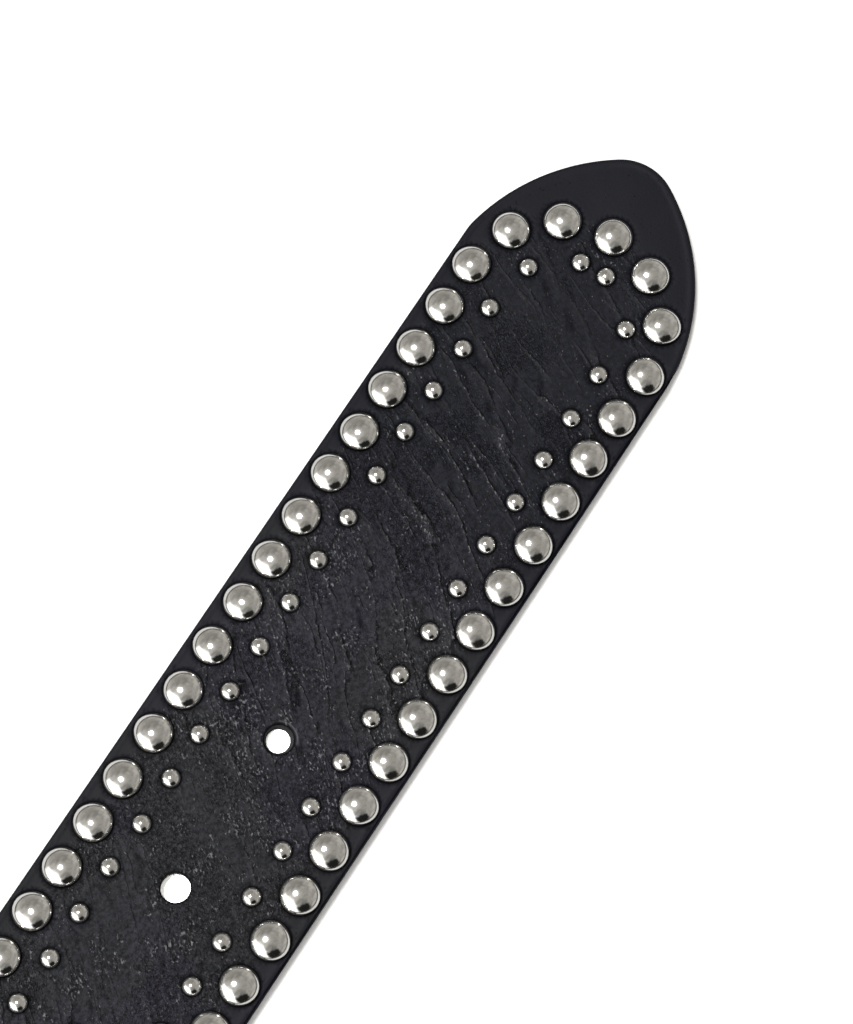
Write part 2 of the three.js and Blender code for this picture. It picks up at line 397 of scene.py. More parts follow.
@dataclass
class StudPlan:
    """Where the studs and the prong holes are, with the small unevenness of setting by hand."""

    pitch: float = 8.1
    large_row_y: float = 16.2
    large_radius: float = 3.05
    arc_gaps: int = 6
    small_row_y: float = 10.1
    small_radius: float = 1.47
    small_first_x: float = -4.3
    small_tip: tuple[Pair, ...] = ((4.5, 8.8), (9.9, 2.1), (9.9, -2.3), (4.3, -9.5))
    last_from_bar: float = 66.0
    row_shift: float = -0.17
    small_shift: float = -0.27
    right_lag: float = 0.25
    arc_back: float = 0.1
    rivet_from_bar: float = 40.0
    rivet_y: float = 9.0
    scatter: float = 0.08
    hole_first_x: float = -79.7
    hole_pitch: float = 27.0
    hole_count: int = 5
    large: np.ndarray = field(init=False)
    small: np.ndarray = field(init=False)
    rivets: np.ndarray = field(init=False)
    holes: list[Hole] = field(init=False)

    def __post_init__(self) -> None:
        """Works out every place from the sizes."""
        chance = np.random.default_rng(SEED)
        last = BAR_X + self.last_from_bar - TIP_X
        row = np.arange(0, last, -self.pitch)
        turns = np.arange(1, self.arc_gaps) * math.pi / self.arc_gaps
        arc = [(self.large_row_y * math.sin(turn) - self.arc_back, self.large_row_y * math.cos(turn))
               for turn in turns]
        left = np.column_stack([row, np.full(len(row), self.large_row_y)])
        right = np.column_stack([row[:-1] - self.right_lag, np.full(len(row) - 1, -self.large_row_y)])
        self.large = self._settle(np.concatenate([left, arc, right]), chance)
        row = np.arange(self.small_first_x, last, -self.pitch)
        left = np.column_stack([row, np.full(len(row), self.small_row_y)])
        self.small = self._settle(np.concatenate([left, self.small_tip, left * (1, -1)]), chance)
        self.small[:, 1] += self.small_shift - self.row_shift
        self.rivets = np.array([(BAR_X + self.rivet_from_bar, y) for y in (self.rivet_y, -self.rivet_y)])
        first_x = TIP_X + self.hole_first_x
        self.holes = [Hole(first_x - number * self.hole_pitch) for number in range(self.hole_count)]
        self.holes[0] = Hole(first_x + 0.3, -0.55, bottom=1.84, slant=0.3)

    def _settle(self, places: np.ndarray, chance: np.random.Generator) -> np.ndarray:
        """Moves places from the tip's own axes to the frame, each a little off its mark."""
        moved = np.array(places, float) + chance.normal(0, self.scatter, (len(places), 2))
        return moved + (TIP_X, self.row_shift)

    def groups(self) -> list[tuple[np.ndarray, float, float]]:
        """Lists the large studs, the small ones and the rivets.

        Returns:
            Each group's places, its radius, and how strongly it presses the leather.
        """
        return [(self.large, self.large_radius, 1.0), (self.small, self.small_radius, 0.75),
                (self.rivets, self.large_radius, 0.6)]


@dataclass
class LeatherRelief:
    """The strap's surface height in millimetres: waves, folds, and hollows round the studs.

    Each fold is a row of its x and y, turn, reach, width, depth and bow.
    """

    plan: StudPlan
    wave: float = 0.07
    near_folds: int = 110
    far_folds: int = 240
    fold_depth: float = 0.22
    fold_width: float = 0.55
    fold_turn: float = math.radians(50)
    hollow: float = 0.10
    hollow_reach: float = 0.55
    groove: float = 0.3
    groove_reach: float = 0.2
    crown_drop: float = 0.48
    crown_reach: float = 8.5
    outline: PlanOutline = field(default_factory=PlanOutline)
    folds: np.ndarray = field(init=False)

    def __post_init__(self) -> None:
        """Draws the folds, which lie closest in the last 150 mm, where the belt is handled."""
        chance = np.random.default_rng(SEED + 1)
        near = chance.uniform((FINE_FROM, -9.5), (TIP_X + 4, 9.5), (self.near_folds, 2))
        far = chance.uniform((BAR_X + 66, -11), (FINE_FROM, 11), (self.far_folds, 2))
        spots = np.concatenate([near, far])
        count = len(spots)
        self.folds = np.column_stack([
            spots,
            chance.normal(self.fold_turn, math.radians(13), count),
            chance.uniform(2.0, 5.5, count),
            chance.uniform(0.7, 1.5, count) * self.fold_width,
            chance.uniform(0.3, 1.0, count) * self.fold_depth,
            chance.uniform(-0.03, 0.03, count),
        ])

    def crown(self, flat: np.ndarray) -> np.ndarray:
        """Gives how far the surface falls away towards the edges at flat places."""
        depth = inside_depth(flat, *self.outline.trace())
        return self.crown_drop * np.clip(1 - depth / self.crown_reach, 0, 1) ** 2

    def lean(self, flat: np.ndarray, step: float = 0.05) -> np.ndarray:
        """Gives the crown's slope in x and y at flat places."""
        return np.column_stack([
            (self.crown(flat - off) - self.crown(flat + off)) / (2 * step) for off in ((step, 0), (0, step))])

    def height(self, x: np.ndarray, y: np.ndarray) -> np.ndarray:
        """Gives the surface's height at flat places.

        Args:
            x: Flat x of each place.
            y: Flat y of each place.

        Returns:
            The height above the plain surface.
        """
        height = self.wave * LatticeNoise(6.5, SEED + 2)(x, y)
        height += self.wave * 0.45 * LatticeNoise(2.7, SEED + 3)(x, y)
        for fx, fy, turn, reach, width, depth, bow in self.folds:
            here = np.abs(x - fx) < reach + 2
            along = (x[here] - fx) * math.cos(turn) + (y[here] - fy) * math.sin(turn)
            across = (y[here] - fy) * math.cos(turn) - (x[here] - fx) * math.sin(turn)
            across -= bow * along**2
            fade = np.clip(1 - (along / reach) ** 2, 0, 1) ** 2
            height[here] -= depth * fade * (bell(across, width) - 0.5 * bell(across - 1.7 * width, width))
        flat = np.column_stack([x, y])
        for centres, radius, share in self.plan.groups():
            gap = np.maximum(nearest(flat, centres) - radius, 0)
            near = bell(gap, self.hollow_reach)
            height = height * (1 - 0.6 * near) - self.hollow * share * near
            height -= self.groove * share * bell(gap, self.groove_reach)
        return height - self.crown(flat)


# Shader nodes


class NodeSheet:
    """Places and wires the nodes of one tree."""

    def __init__(self, tree: bpy.types.NodeTree) -> None:
        """Works on the given tree."""
        self.tree = tree

    def link(self, source: Socket, target: Socket) -> None:
        """Joins an output to an input."""
        self.tree.links.new(source, target)

    def node(self, kind: str, inputs: dict | None = None, **settings: object) -> bpy.types.Node:
        """Adds a node.

        Args:
            kind: The node's type, such as ShaderNodeMath.
            inputs: Values or sockets for its inputs, by name or number.
            settings: The node's own settings.

        Returns:
            The new node.
        """
        node = self.tree.nodes.new(kind)
        for name, value in settings.items():
            setattr(node, name, value)
        for name, value in (inputs or {}).items():
            if isinstance(value, Socket):
                self.link(value, node.inputs[name])
            else:
                node.inputs[name].default_value = value
        return node

    def math(self, operation: str, *values: object) -> Socket:
        """Joins numbers with one operation, two at a time from the left.

        Args:
            operation: The Math node's operation.
            values: The numbers or sockets; only one for an operation such as FRACT.

        Returns:
            The result.
        """
        result = values[0]
        for value in values[1:] or (None,):
            inputs = {0: result} if value is None else {0: result, 1: value}
            result = self.node("ShaderNodeMath", inputs, operation=operation).outputs[0]
        return result

    def times(self, *values: object) -> Socket:
        """Multiplies numbers."""
        return self.math("MULTIPLY", *values)

    def plus(self, *values: object) -> Socket:
        """Adds numbers."""
        return self.math("ADD", *values)

    def less(self, *values: object) -> Socket:
        """Takes numbers from the first one."""
        return self.math("SUBTRACT", *values)

    def most(self, *values: object) -> Socket:
        """Gives the largest of the numbers."""
        return self.math("MAXIMUM", *values)

    def vectors(self, operation: str, *values: object) -> Socket:
        """Adds a Vector Math node and gives its vector."""
        return self.node("ShaderNodeVectorMath", dict(enumerate(values)), operation=operation).outputs[0]

    def scaled(self, vector: Socket, by: object) -> Socket:
        """Multiplies a vector or colour by a number."""
        return self.node("ShaderNodeVectorMath", {0: vector, "Scale": by}, operation="SCALE").outputs[0]

    def turned(self, vector: Socket, angle: object) -> Socket:
        """Turns a vector about z."""
        inputs = {"Vector": vector, "Angle": angle}
        return self.node("ShaderNodeVectorRotate", inputs, rotation_type="Z_AXIS").outputs[0]

    def parts(self, vector: Socket) -> bpy.types.NodeOutputs:
        """Gives a vector's x, y and z."""
        return self.node("ShaderNodeSeparateXYZ", {"Vector": vector}).outputs

    def remap(self, value: Socket, low: object, high: object, to_low: float = 0.0,
              to_high: float = 1.0) -> Socket:
        """Maps a value smoothly from one range to another."""
        inputs = {"Value": value, "From Min": low, "From Max": high, "To Min": to_low, "To Max": to_high}
        return self.node("ShaderNodeMapRange", inputs, interpolation_type="SMOOTHSTEP").outputs[0]

    def blend(self, share: object, first: object, second: object) -> Socket:
        """Mixes two colours by a share."""
        return self.node("ShaderNodeMix", {0: share, 6: first, 7: second}, data_type="RGBA").outputs[2]

    def noise(self, vector: Socket, scale: object, detail: float = 2.0, rough: float = 0.5,
              output: str = "Fac") -> Socket:
        """Adds a Noise Texture and gives its value, or its colour where that output is asked for."""
        inputs = {"Vector": vector, "Scale": scale, "Detail": detail, "Roughness": rough}
        return self.node("ShaderNodeTexNoise", inputs).outputs[output]

    def point_field(self, name: str) -> Socket:
        """Reads one of the mesh's point fields."""
        return self.node("ShaderNodeAttribute", attribute_name=name).outputs["Fac"]


class EffectGroup(Enum):
    """The effects that are placed more than once, each one shader node group."""

    GRAIN = "leather grain"
    CREASES = "leather creases"
    PATCHES = "uneven wear"
    HAIRLINES = "hairline scratches"

    def tree(self) -> bpy.types.NodeTree:
        """Gives the effect's node group, built the first time it is asked for."""
        builders = {
            EffectGroup.GRAIN: build_grain,
            EffectGroup.CREASES: build_creases,
            EffectGroup.PATCHES: build_patches,
            EffectGroup.HAIRLINES: build_hairlines,
        }
        return bpy.data.node_groups.get(self.value) or builders[self](self.value)

    def place(self, sheet: NodeSheet, **inputs: object) -> bpy.types.NodeOutputs:
        """Places the effect in a material with its own values and gives its outputs."""
        return sheet.node("ShaderNodeGroup", inputs, node_tree=self.tree()).outputs


def open_group(name: str, numbers: dict[str, float],
               outputs: tuple[str, ...]) -> tuple[NodeSheet, bpy.types.NodeOutputs, bpy.types.NodeInputs]:
    """Starts a node group with a Vector input.

    Args:
        name: The group's name.
        numbers: Its number inputs with their usual values.
        outputs: The names of its number outputs.

    Returns:
        The group's sheet, its input sockets by name, and its output sockets by name.
    """
    tree = bpy.data.node_groups.new(name, "ShaderNodeTree")
    tree.interface.new_socket("Vector", in_out="INPUT", socket_type="NodeSocketVector")
    for label, usual in numbers.items():
        socket = tree.interface.new_socket(label, in_out="INPUT", socket_type="NodeSocketFloat")
        socket.default_value = usual
    for label in outputs:
        tree.interface.new_socket(label, in_out="OUTPUT", socket_type="NodeSocketFloat")
    sheet = NodeSheet(tree)
    return sheet, sheet.node("NodeGroupInput").outputs, sheet.node("NodeGroupOutput").inputs


def build_grain(name: str) -> bpy.types.NodeTree:
    """Builds the pebbled grain: rounded cells with narrow grooves, finer pores on top.

    Args:
        name: The group's name.

    Returns:
        The group, which puts out Height in millimetres.
    """
    sheet, source, target = open_group(name, {"Cell": 0.7, "Relief": 0.05}, ("Height",))
    scale = sheet.math("DIVIDE", 1.0, source["Cell"])
    place = source["Vector"]
    shift = sheet.scaled(sheet.noise(place, scale, 1.0, output="Color"), sheet.times(source["Cell"], 0.6))
    warped = sheet.vectors("ADD", place, shift)
    cells = sheet.node("ShaderNodeTexVoronoi", {"Vector": warped, "Scale": scale}, feature="DISTANCE_TO_EDGE")
    groove = sheet.remap(cells.outputs["Distance"], 0.0, 0.22, 1.0, 0.0)
    pores = sheet.noise(place, sheet.times(scale, 4.0), 3.0, 0.6)
    folded = sheet.noise(place, sheet.times(scale, 0.7), 3.0, 0.6)
    crinkle = sheet.remap(sheet.math("ABSOLUTE", sheet.less(folded, 0.5)), 0.0, 0.08, 1.0, 0.0)
    height = sheet.less(sheet.times(pores, 0.5), groove, sheet.times(crinkle, 0.9))
    sheet.link(sheet.times(height, source["Relief"]), target["Height"])
    return sheet.tree


def build_creases(name: str) -> bpy.types.NodeTree:
    """Builds long creases that run side by side at an angle across the strap.

    Args:
        name: The group's name.

    Returns:
        The group, which puts out Height in millimetres, and Line and Dash from 0 to 1. Line
        marks the cracks and Dash the raised ridge along one side of each; the leather paints
        shade on the cracks and a highlight on the ridges.
    """
    numbers = {"Turn": 0.87, "Spacing": 3.0, "Length": 12.0, "Depth": 0.08, "Breaks": 0.5}
    sheet, source, target = open_group(name, numbers, ("Height", "Line", "Dash"))
    turned = sheet.turned(source["Vector"], sheet.times(source["Turn"], -1.0))
    along = sheet.math("DIVIDE", 1.0, source["Length"])
    across = sheet.math("DIVIDE", 1.0, source["Spacing"])
    stretch = sheet.node("ShaderNodeCombineXYZ", {"X": along, "Y": across, "Z": across}).outputs[0]
    at = sheet.vectors("MULTIPLY", turned, stretch)
    sway = sheet.times(sheet.noise(at, 0.8, 2.0, 0.5), 2.5)
    shiver = sheet.times(sheet.noise(turned, 0.8, 3.0, 0.65), 0.34)
    phase = sheet.math("FRACT", sheet.plus(sheet.parts(at)[1], sheet.plus(sway, shiver)))
    ragged = sheet.noise(sheet.vectors("ADD", at, (7.3, 2.1, 0.0)), 1.3, 3.0, 0.6)
    gate_end = sheet.plus(source["Breaks"], 0.1)
    gate = sheet.node("ShaderNodeMapRange", {
        "Value": ragged, "From Min": source["Breaks"], "From Max": gate_end}).outputs[0]
    parted = sheet.remap(sheet.noise(turned, 0.55, 3.0, 0.7), 0.4, 0.54)
    off = sheet.math("ABSOLUTE", sheet.less(phase, 0.5))
    line = sheet.times(sheet.remap(off, 0.0, 0.055, 1.0, 0.0), gate, parted)
    dash = sheet.times(sheet.remap(phase, 0.53, 0.57), sheet.remap(phase, 0.58, 0.78, 1.0, 0.0), gate)
    sheet.link(sheet.times(sheet.less(sheet.times(dash, 0.8), line), source["Depth"]), target["Height"])
    sheet.link(line, target["Line"])
    sheet.link(dash, target["Dash"])
    return sheet.tree


def build_patches(name: str) -> bpy.types.NodeTree:
    """Builds the uneven patches of handling, polish and dust.

    Args:
        name: The group's name.

    Returns:
        The group, which puts out Mask from 0 to 1.
    """
    sheet, source, target = open_group(name, {"Size": 9.0, "Share": 0.5}, ("Mask",))
    broad = sheet.noise(source["Vector"], sheet.math("DIVIDE", 1.0, source["Size"]), 4.0, 0.62)
    edge = sheet.less(1.0, source["Share"])
    sheet.link(sheet.remap(broad, sheet.less(edge, 0.12), sheet.plus(edge, 0.12)), target["Mask"])
    return sheet.tree


def build_hairlines(name: str) -> bpy.types.NodeTree:
    """Builds fine scratches, two crossed sets of long thin streaks.

    Args:
        name: The group's name.

    Returns:
        The group, which puts out Height in millimetres and Mask from 0 to 1.
    """
    sheet, source, target = open_group(name, {"Fineness": 9.0, "Depth": 0.002}, ("Height", "Mask"))
    streaks = []
    for turn, stretch in ((0.4, 0.05), (1.9, 0.08)):
        drawn = sheet.vectors("MULTIPLY", sheet.turned(source["Vector"], turn), (stretch, 1.0, 1.0))
        streaks.append(sheet.remap(sheet.noise(drawn, source["Fineness"], 2.0, 0.6), 0.6, 0.72))
    mask = sheet.most(*streaks)
    sheet.link(sheet.times(mask, source["Depth"], -1.0), target["Height"])
    sheet.link(mask, target["Mask"])
    return sheet.tree


def start_material(name: str) -> tuple[Material, NodeSheet, bpy.types.Node, Socket]:
    """Starts a material with an empty Principled shader.

    Args:
        name: The material's name.

    Returns:
        The material, its sheet, the shader, and the surface place in millimetres.
    """
    material = bpy.data.materials.new(name)
    material.use_nodes = True
    sheet = NodeSheet(material.node_tree)
    shader = material.node_tree.nodes["Principled BSDF"]
    return material, sheet, shader, sheet.scaled(sheet.node("ShaderNodeTexCoord").outputs["Object"], 1 / MM)


def wire(sheet: NodeSheet, shader: bpy.types.Node, colour: Socket, rough: Socket, height: Socket) -> None:
    """Feeds a colour, a roughness and a height in millimetres to the shader."""
    bump = sheet.node("ShaderNodeBump", {"Height": height, "Strength": 1.0, "Distance": MM})
    sheet.link(colour, shader.inputs["Base Color"])
    sheet.link(rough, shader.inputs["Roughness"])
    sheet.link(bump.outputs[0], shader.inputs["Normal"])


# Finishes


@dataclass(frozen=True)
class CreaseSet:
    """One set of creases: its turn about z, spacing, length and depth, and how broken it is."""

    turn: float
    spacing: float
    length: float
    depth: float
    breaks: float


@dataclass(frozen=True)
class LeatherFinish:
    """Black, lightly waxed grain leather with creases.

    It reads the strap's point fields: one of painted contact shade round the studs and the
    holes' rims, pull where studs stretch it, calm where it is smooth, worn and handled where it
    is used, one of a painted highlight on the lit side of the first hole's rim, and sparse where
    it has few creases. It paints shade in the crease cracks and between the grain's crowns, and
    highlights on the crowns and the crease ridges.
    """

    name: str = "black grain leather"
    colour: Colour = (0.0062, 0.0072, 0.0125, 1)
    worn_colour: Colour = (0.0215, 0.0202, 0.0295, 1)
    dusty_colour: Colour = (0.0222, 0.0226, 0.0268, 1)
    # The colour of painted shade: the contact rings round studs and rims, the crease cracks and the gaps
    # between crowns.
    shade_colour: Colour = (0.0012, 0.0012, 0.0015, 1)
    # The colour of the painted highlights on the crowns, the hole's lip and the crease ridges.
    highlight_colour: Colour = (0.25, 0.25, 0.27, 1)
    gloss: float = 0.2
    rough: Pair = (0.57, 0.34)
    mottle: Pair = (0.35, 1.8)
    patch_size: float = 16.0
    grain_cell: float = 0.62
    grain: float = 0.09
    fine: CreaseSet = CreaseSet(0.9, 3.1, 13.0, 0.16, 0.47)
    broad: CreaseSet = CreaseSet(0.8, 5.2, 22.0, 0.24, 0.45)
    crown_height: float = 0.12
    crown_turn: float = -0.85
    crown_stretch: tuple[float, float, float] = (0.75, 1.2, 1.0)
    bend_from: float = 60.0
    bend_over: float = 45.0
    bend: float = 0.28

    def creases(self, sheet: NodeSheet, place: Socket, creased: Socket) -> tuple[Socket, Socket, Socket]:
        """Places the fine and the broad creases, which swing across the belt near its end.

        Args:
            sheet: The material's sheet.
            place: The surface place in millimetres.
            creased: How strong the creases are, from 0 to 1.

        Returns:
            The creases' height, the mask of their cracks and the mask of their ridges.
        """
        from_bend = sheet.vectors("SUBTRACT", place, (TIP_X - self.bend_from, 0.0, 0.0))
        swing = sheet.remap(sheet.parts(from_bend)[0], 0.0, self.bend_over, 0.0, self.bend)
        fine, broad = (
            EffectGroup.CREASES.place(
                sheet, Vector=from_bend, Turn=sheet.plus(swing, each.turn), Spacing=each.spacing,
                Length=each.length, Depth=each.depth, Breaks=each.breaks)
            for each in (self.fine, self.broad))
        height = sheet.times(sheet.plus(fine["Height"], broad["Height"]), creased)
        line = sheet.times(sheet.most(fine["Line"], broad["Line"]), creased)
        return height, line, sheet.times(sheet.most(fine["Dash"], broad["Dash"]), creased)

    def pebbles(self, sheet: NodeSheet, place: Socket, cluster: Socket) -> tuple[Socket, Socket]:
        """Builds the small raised crowns of the grain, gathered in clusters.

        Args:
            sheet: The material's sheet.
            place: The surface place in millimetres.
            cluster: How thickly the crowns stand, from 0 to 1.

        Returns:
            The mask of the crowns, which the leather lightens with painted highlights, and the mask
            of the gaps between them, which it darkens with painted shade.
        """
        drawn = sheet.vectors("MULTIPLY", sheet.turned(place, self.crown_turn), self.crown_stretch)
        rise = sheet.noise(drawn, 2.4, 2.0, 0.6)
        crowns = sheet.remap(sheet.plus(rise, sheet.times(cluster, 0.14)), 0.66, 0.76)
        crowns = sheet.times(crowns, sheet.remap(sheet.noise(place, 0.9, 1.0), 0.35, 0.65, 0.25, 1.0))
        return crowns, sheet.times(cluster, sheet.remap(rise, 0.36, 0.48, 1.0, 0.0))

    def ground(self, sheet: NodeSheet, place: Socket, worn: Socket, calm: Socket, patches: Socket) -> Socket:
        """Builds the mottled colour under the cracks and crowns.

        Args:
            sheet: The material's sheet.
            place: The surface place in millimetres.
            worn: The field of wear.
            calm: The field of smoothness.
            patches: The mask of handled patches.

        Returns:
            The colour.
        """
        dusty = sheet.remap(sheet.noise(place, 0.05, 2.0), 0.42, 0.55)
        dusty = sheet.times(dusty, sheet.remap(worn, 0.9, 1.0))
        colour = sheet.blend(dusty, self.worn_colour, self.dusty_colour)
        paled = sheet.times(worn, sheet.remap(patches, 0.0, 1.0, 0.65, 1.0))
        colour = sheet.blend(sheet.most(paled, sheet.times(calm, 0.25)), self.colour, colour)
        mottled = sheet.remap(sheet.noise(place, 1.3, 4.0, 0.75), 0.38, 0.62, *self.mottle)
        mottled = sheet.node("ShaderNodeMix", {0: sheet.less(1.0, calm), 2: 1.0, 3: mottled}).outputs[0]
        return sheet.scaled(colour, mottled)

    def build(self) -> Material:
        """Builds the material.

        Returns:
            The leather.
        """
        material, sheet, shader, place = start_material(self.name)
        shader.inputs["Specular IOR Level"].default_value = self.gloss
        contact_shade, pull, calm, worn, handled, lip_glint, sparse = (
            sheet.point_field(name) for name in ("contact_shade", "pull", "calm", "worn", "handled", "lip_glint", "sparse"))
        lively = sheet.less(1.0, calm)
        patches = EffectGroup.PATCHES.place(sheet, Vector=place, Size=self.patch_size, Share=0.5)["Mask"]
        patches = sheet.times(sheet.most(patches, handled), lively)
        grain = EffectGroup.GRAIN.place(sheet, Vector=place, Cell=self.grain_cell, Relief=self.grain)
        height, line, dash = self.creases(sheet, place, sheet.times(lively, sheet.less(1.0, sparse)))
        gathered = sheet.times(sheet.remap(sheet.noise(place, 0.2, 5.0, 0.68), 0.46, 0.62),
                               sheet.remap(worn, 0.0, 1.0, 0.45, 0.9))
        cluster = sheet.times(sheet.most(gathered, dash, handled), lively)
        crowns, gaps = self.pebbles(sheet, place, sheet.most(cluster, sheet.times(pull, 0.7)))
        grained = sheet.times(grain["Height"], sheet.remap(patches, 0.2, 1.0, 0.06, 1.0))
        height = sheet.plus(height, grained)
        stand = sheet.less(crowns, sheet.times(gaps, 0.7))
        height = sheet.plus(height, sheet.times(stand, self.crown_height))
        colour = self.ground(sheet, place, worn, calm, patches)
        # Painted shade: the crease cracks and the gaps between the grain's crowns are darkened towards the
        # shade colour.
        painted_shade = sheet.most(sheet.times(line, 0.85), sheet.times(gaps, 0.5))
        colour = sheet.blend(painted_shade, colour, self.shade_colour)
        # Painted highlights: the grain's crowns, the lit side of the first hole's rim and, faintly, the
        # crease ridges are lightened towards the highlight colour.
        painted_highlight = sheet.most(sheet.times(crowns, sheet.most(lively, pull)), lip_glint, sheet.times(dash, 0.1))
        # Painted contact shade: a near-black ring round every stud and round the holes' rims.
        colour = sheet.blend(contact_shade, sheet.blend(painted_highlight, colour, self.highlight_colour), self.shade_colour)
        rough = sheet.less(sheet.remap(patches, 0.0, 1.0, *self.rough), sheet.times(line, 0.15))
        wire(sheet, shader, colour, sheet.plus(rough, contact_shade), height)
        return material


@dataclass(frozen=True)
class CutEdgeFinish:
    """The cut edge, sealed with black edge paint: a slight orange-peel and scuffed patches."""

    name: str = "painted edge"
    colour: Colour = (0.006, 0.006, 0.007, 1)
    dust_colour: Colour = (0.018, 0.018, 0.019, 1)
    gloss: float = 0.12

    def build(self) -> Material:
        """Builds the material.

        Returns:
            The edge paint.
        """
        material, sheet, shader, place = start_material(self.name)
        shader.inputs["Specular IOR Level"].default_value = self.gloss
        patches = EffectGroup.PATCHES.place(sheet, Vector=place, Size=3.0, Share=0.4)["Mask"]
        grain = EffectGroup.GRAIN.place(sheet, Vector=place, Cell=0.5, Relief=0.03)["Height"]
        wire(sheet, shader, sheet.blend(patches, self.colour, self.dust_colour),
             sheet.remap(patches, 0.0, 1.0, 0.4, 0.62), grain)
        return material


@dataclass(frozen=True)
class FleshSideFinish:
    """The belt's back: dyed split leather with a short, lighter nap."""

    name: str = "dyed flesh side"
    colour: Colour = (0.036, 0.034, 0.034, 1)
    nap_colour: Colour = (0.095, 0.09, 0.086, 1)
    nap_height: float = 0.12
    gloss: float = 0.2
    sheen: float = 0.25

    def build(self) -> Material:
        """Builds the material.

        Returns:
            The flesh side.
        """
        material, sheet, shader, place = start_material(self.name)
        shader.inputs["Specular IOR Level"].default_value = self.gloss
        shader.inputs["Sheen Weight"].default_value = self.sheen
        fibres = sheet.noise(place, 4.5, 4.0, 0.65)
        patches = EffectGroup.PATCHES.place(sheet, Vector=place, Size=12.0, Share=0.5)["Mask"]
        colour = sheet.blend(sheet.times(sheet.plus(fibres, patches), 0.5), self.colour, self.nap_colour)
        rough = sheet.remap(fibres, 0.2, 0.8, 0.98, 0.82)
        wire(sheet, shader, colour, rough, sheet.times(fibres, self.nap_height))
        return material


@dataclass(frozen=True)
class NickelFinish:
    """Polished nickel plate with hairlines and faint clouding."""

    name: str = "polished nickel"
    colour: Colour = (0.90, 0.885, 0.85, 1)
    cloud_colour: Colour = (0.82, 0.80, 0.765, 1)
    smooth: float = 0.10
    clouded: float = 0.15
    scratch: float = 0.0003
    cloud_size: float = 1.6

    def build(self) -> Material:
        """Builds the material.

        Returns:
            The metal.
        """
        material, sheet, shader, place = start_material(self.name)
        shader.inputs["Metallic"].default_value = 1.0
        cloud = EffectGroup.PATCHES.place(sheet, Vector=place, Size=self.cloud_size, Share=0.42)["Mask"]
        lines = EffectGroup.HAIRLINES.place(sheet, Vector=place, Fineness=7.0, Depth=self.scratch)
        rough = sheet.remap(cloud, 0.0, 1.0, self.smooth, self.clouded)
        rough = sheet.plus(rough, sheet.times(lines["Mask"], 0.02))
        wire(sheet, shader, sheet.blend(cloud, self.colour, self.cloud_colour), rough, lines["Height"])
        return material


# The belt's pieces


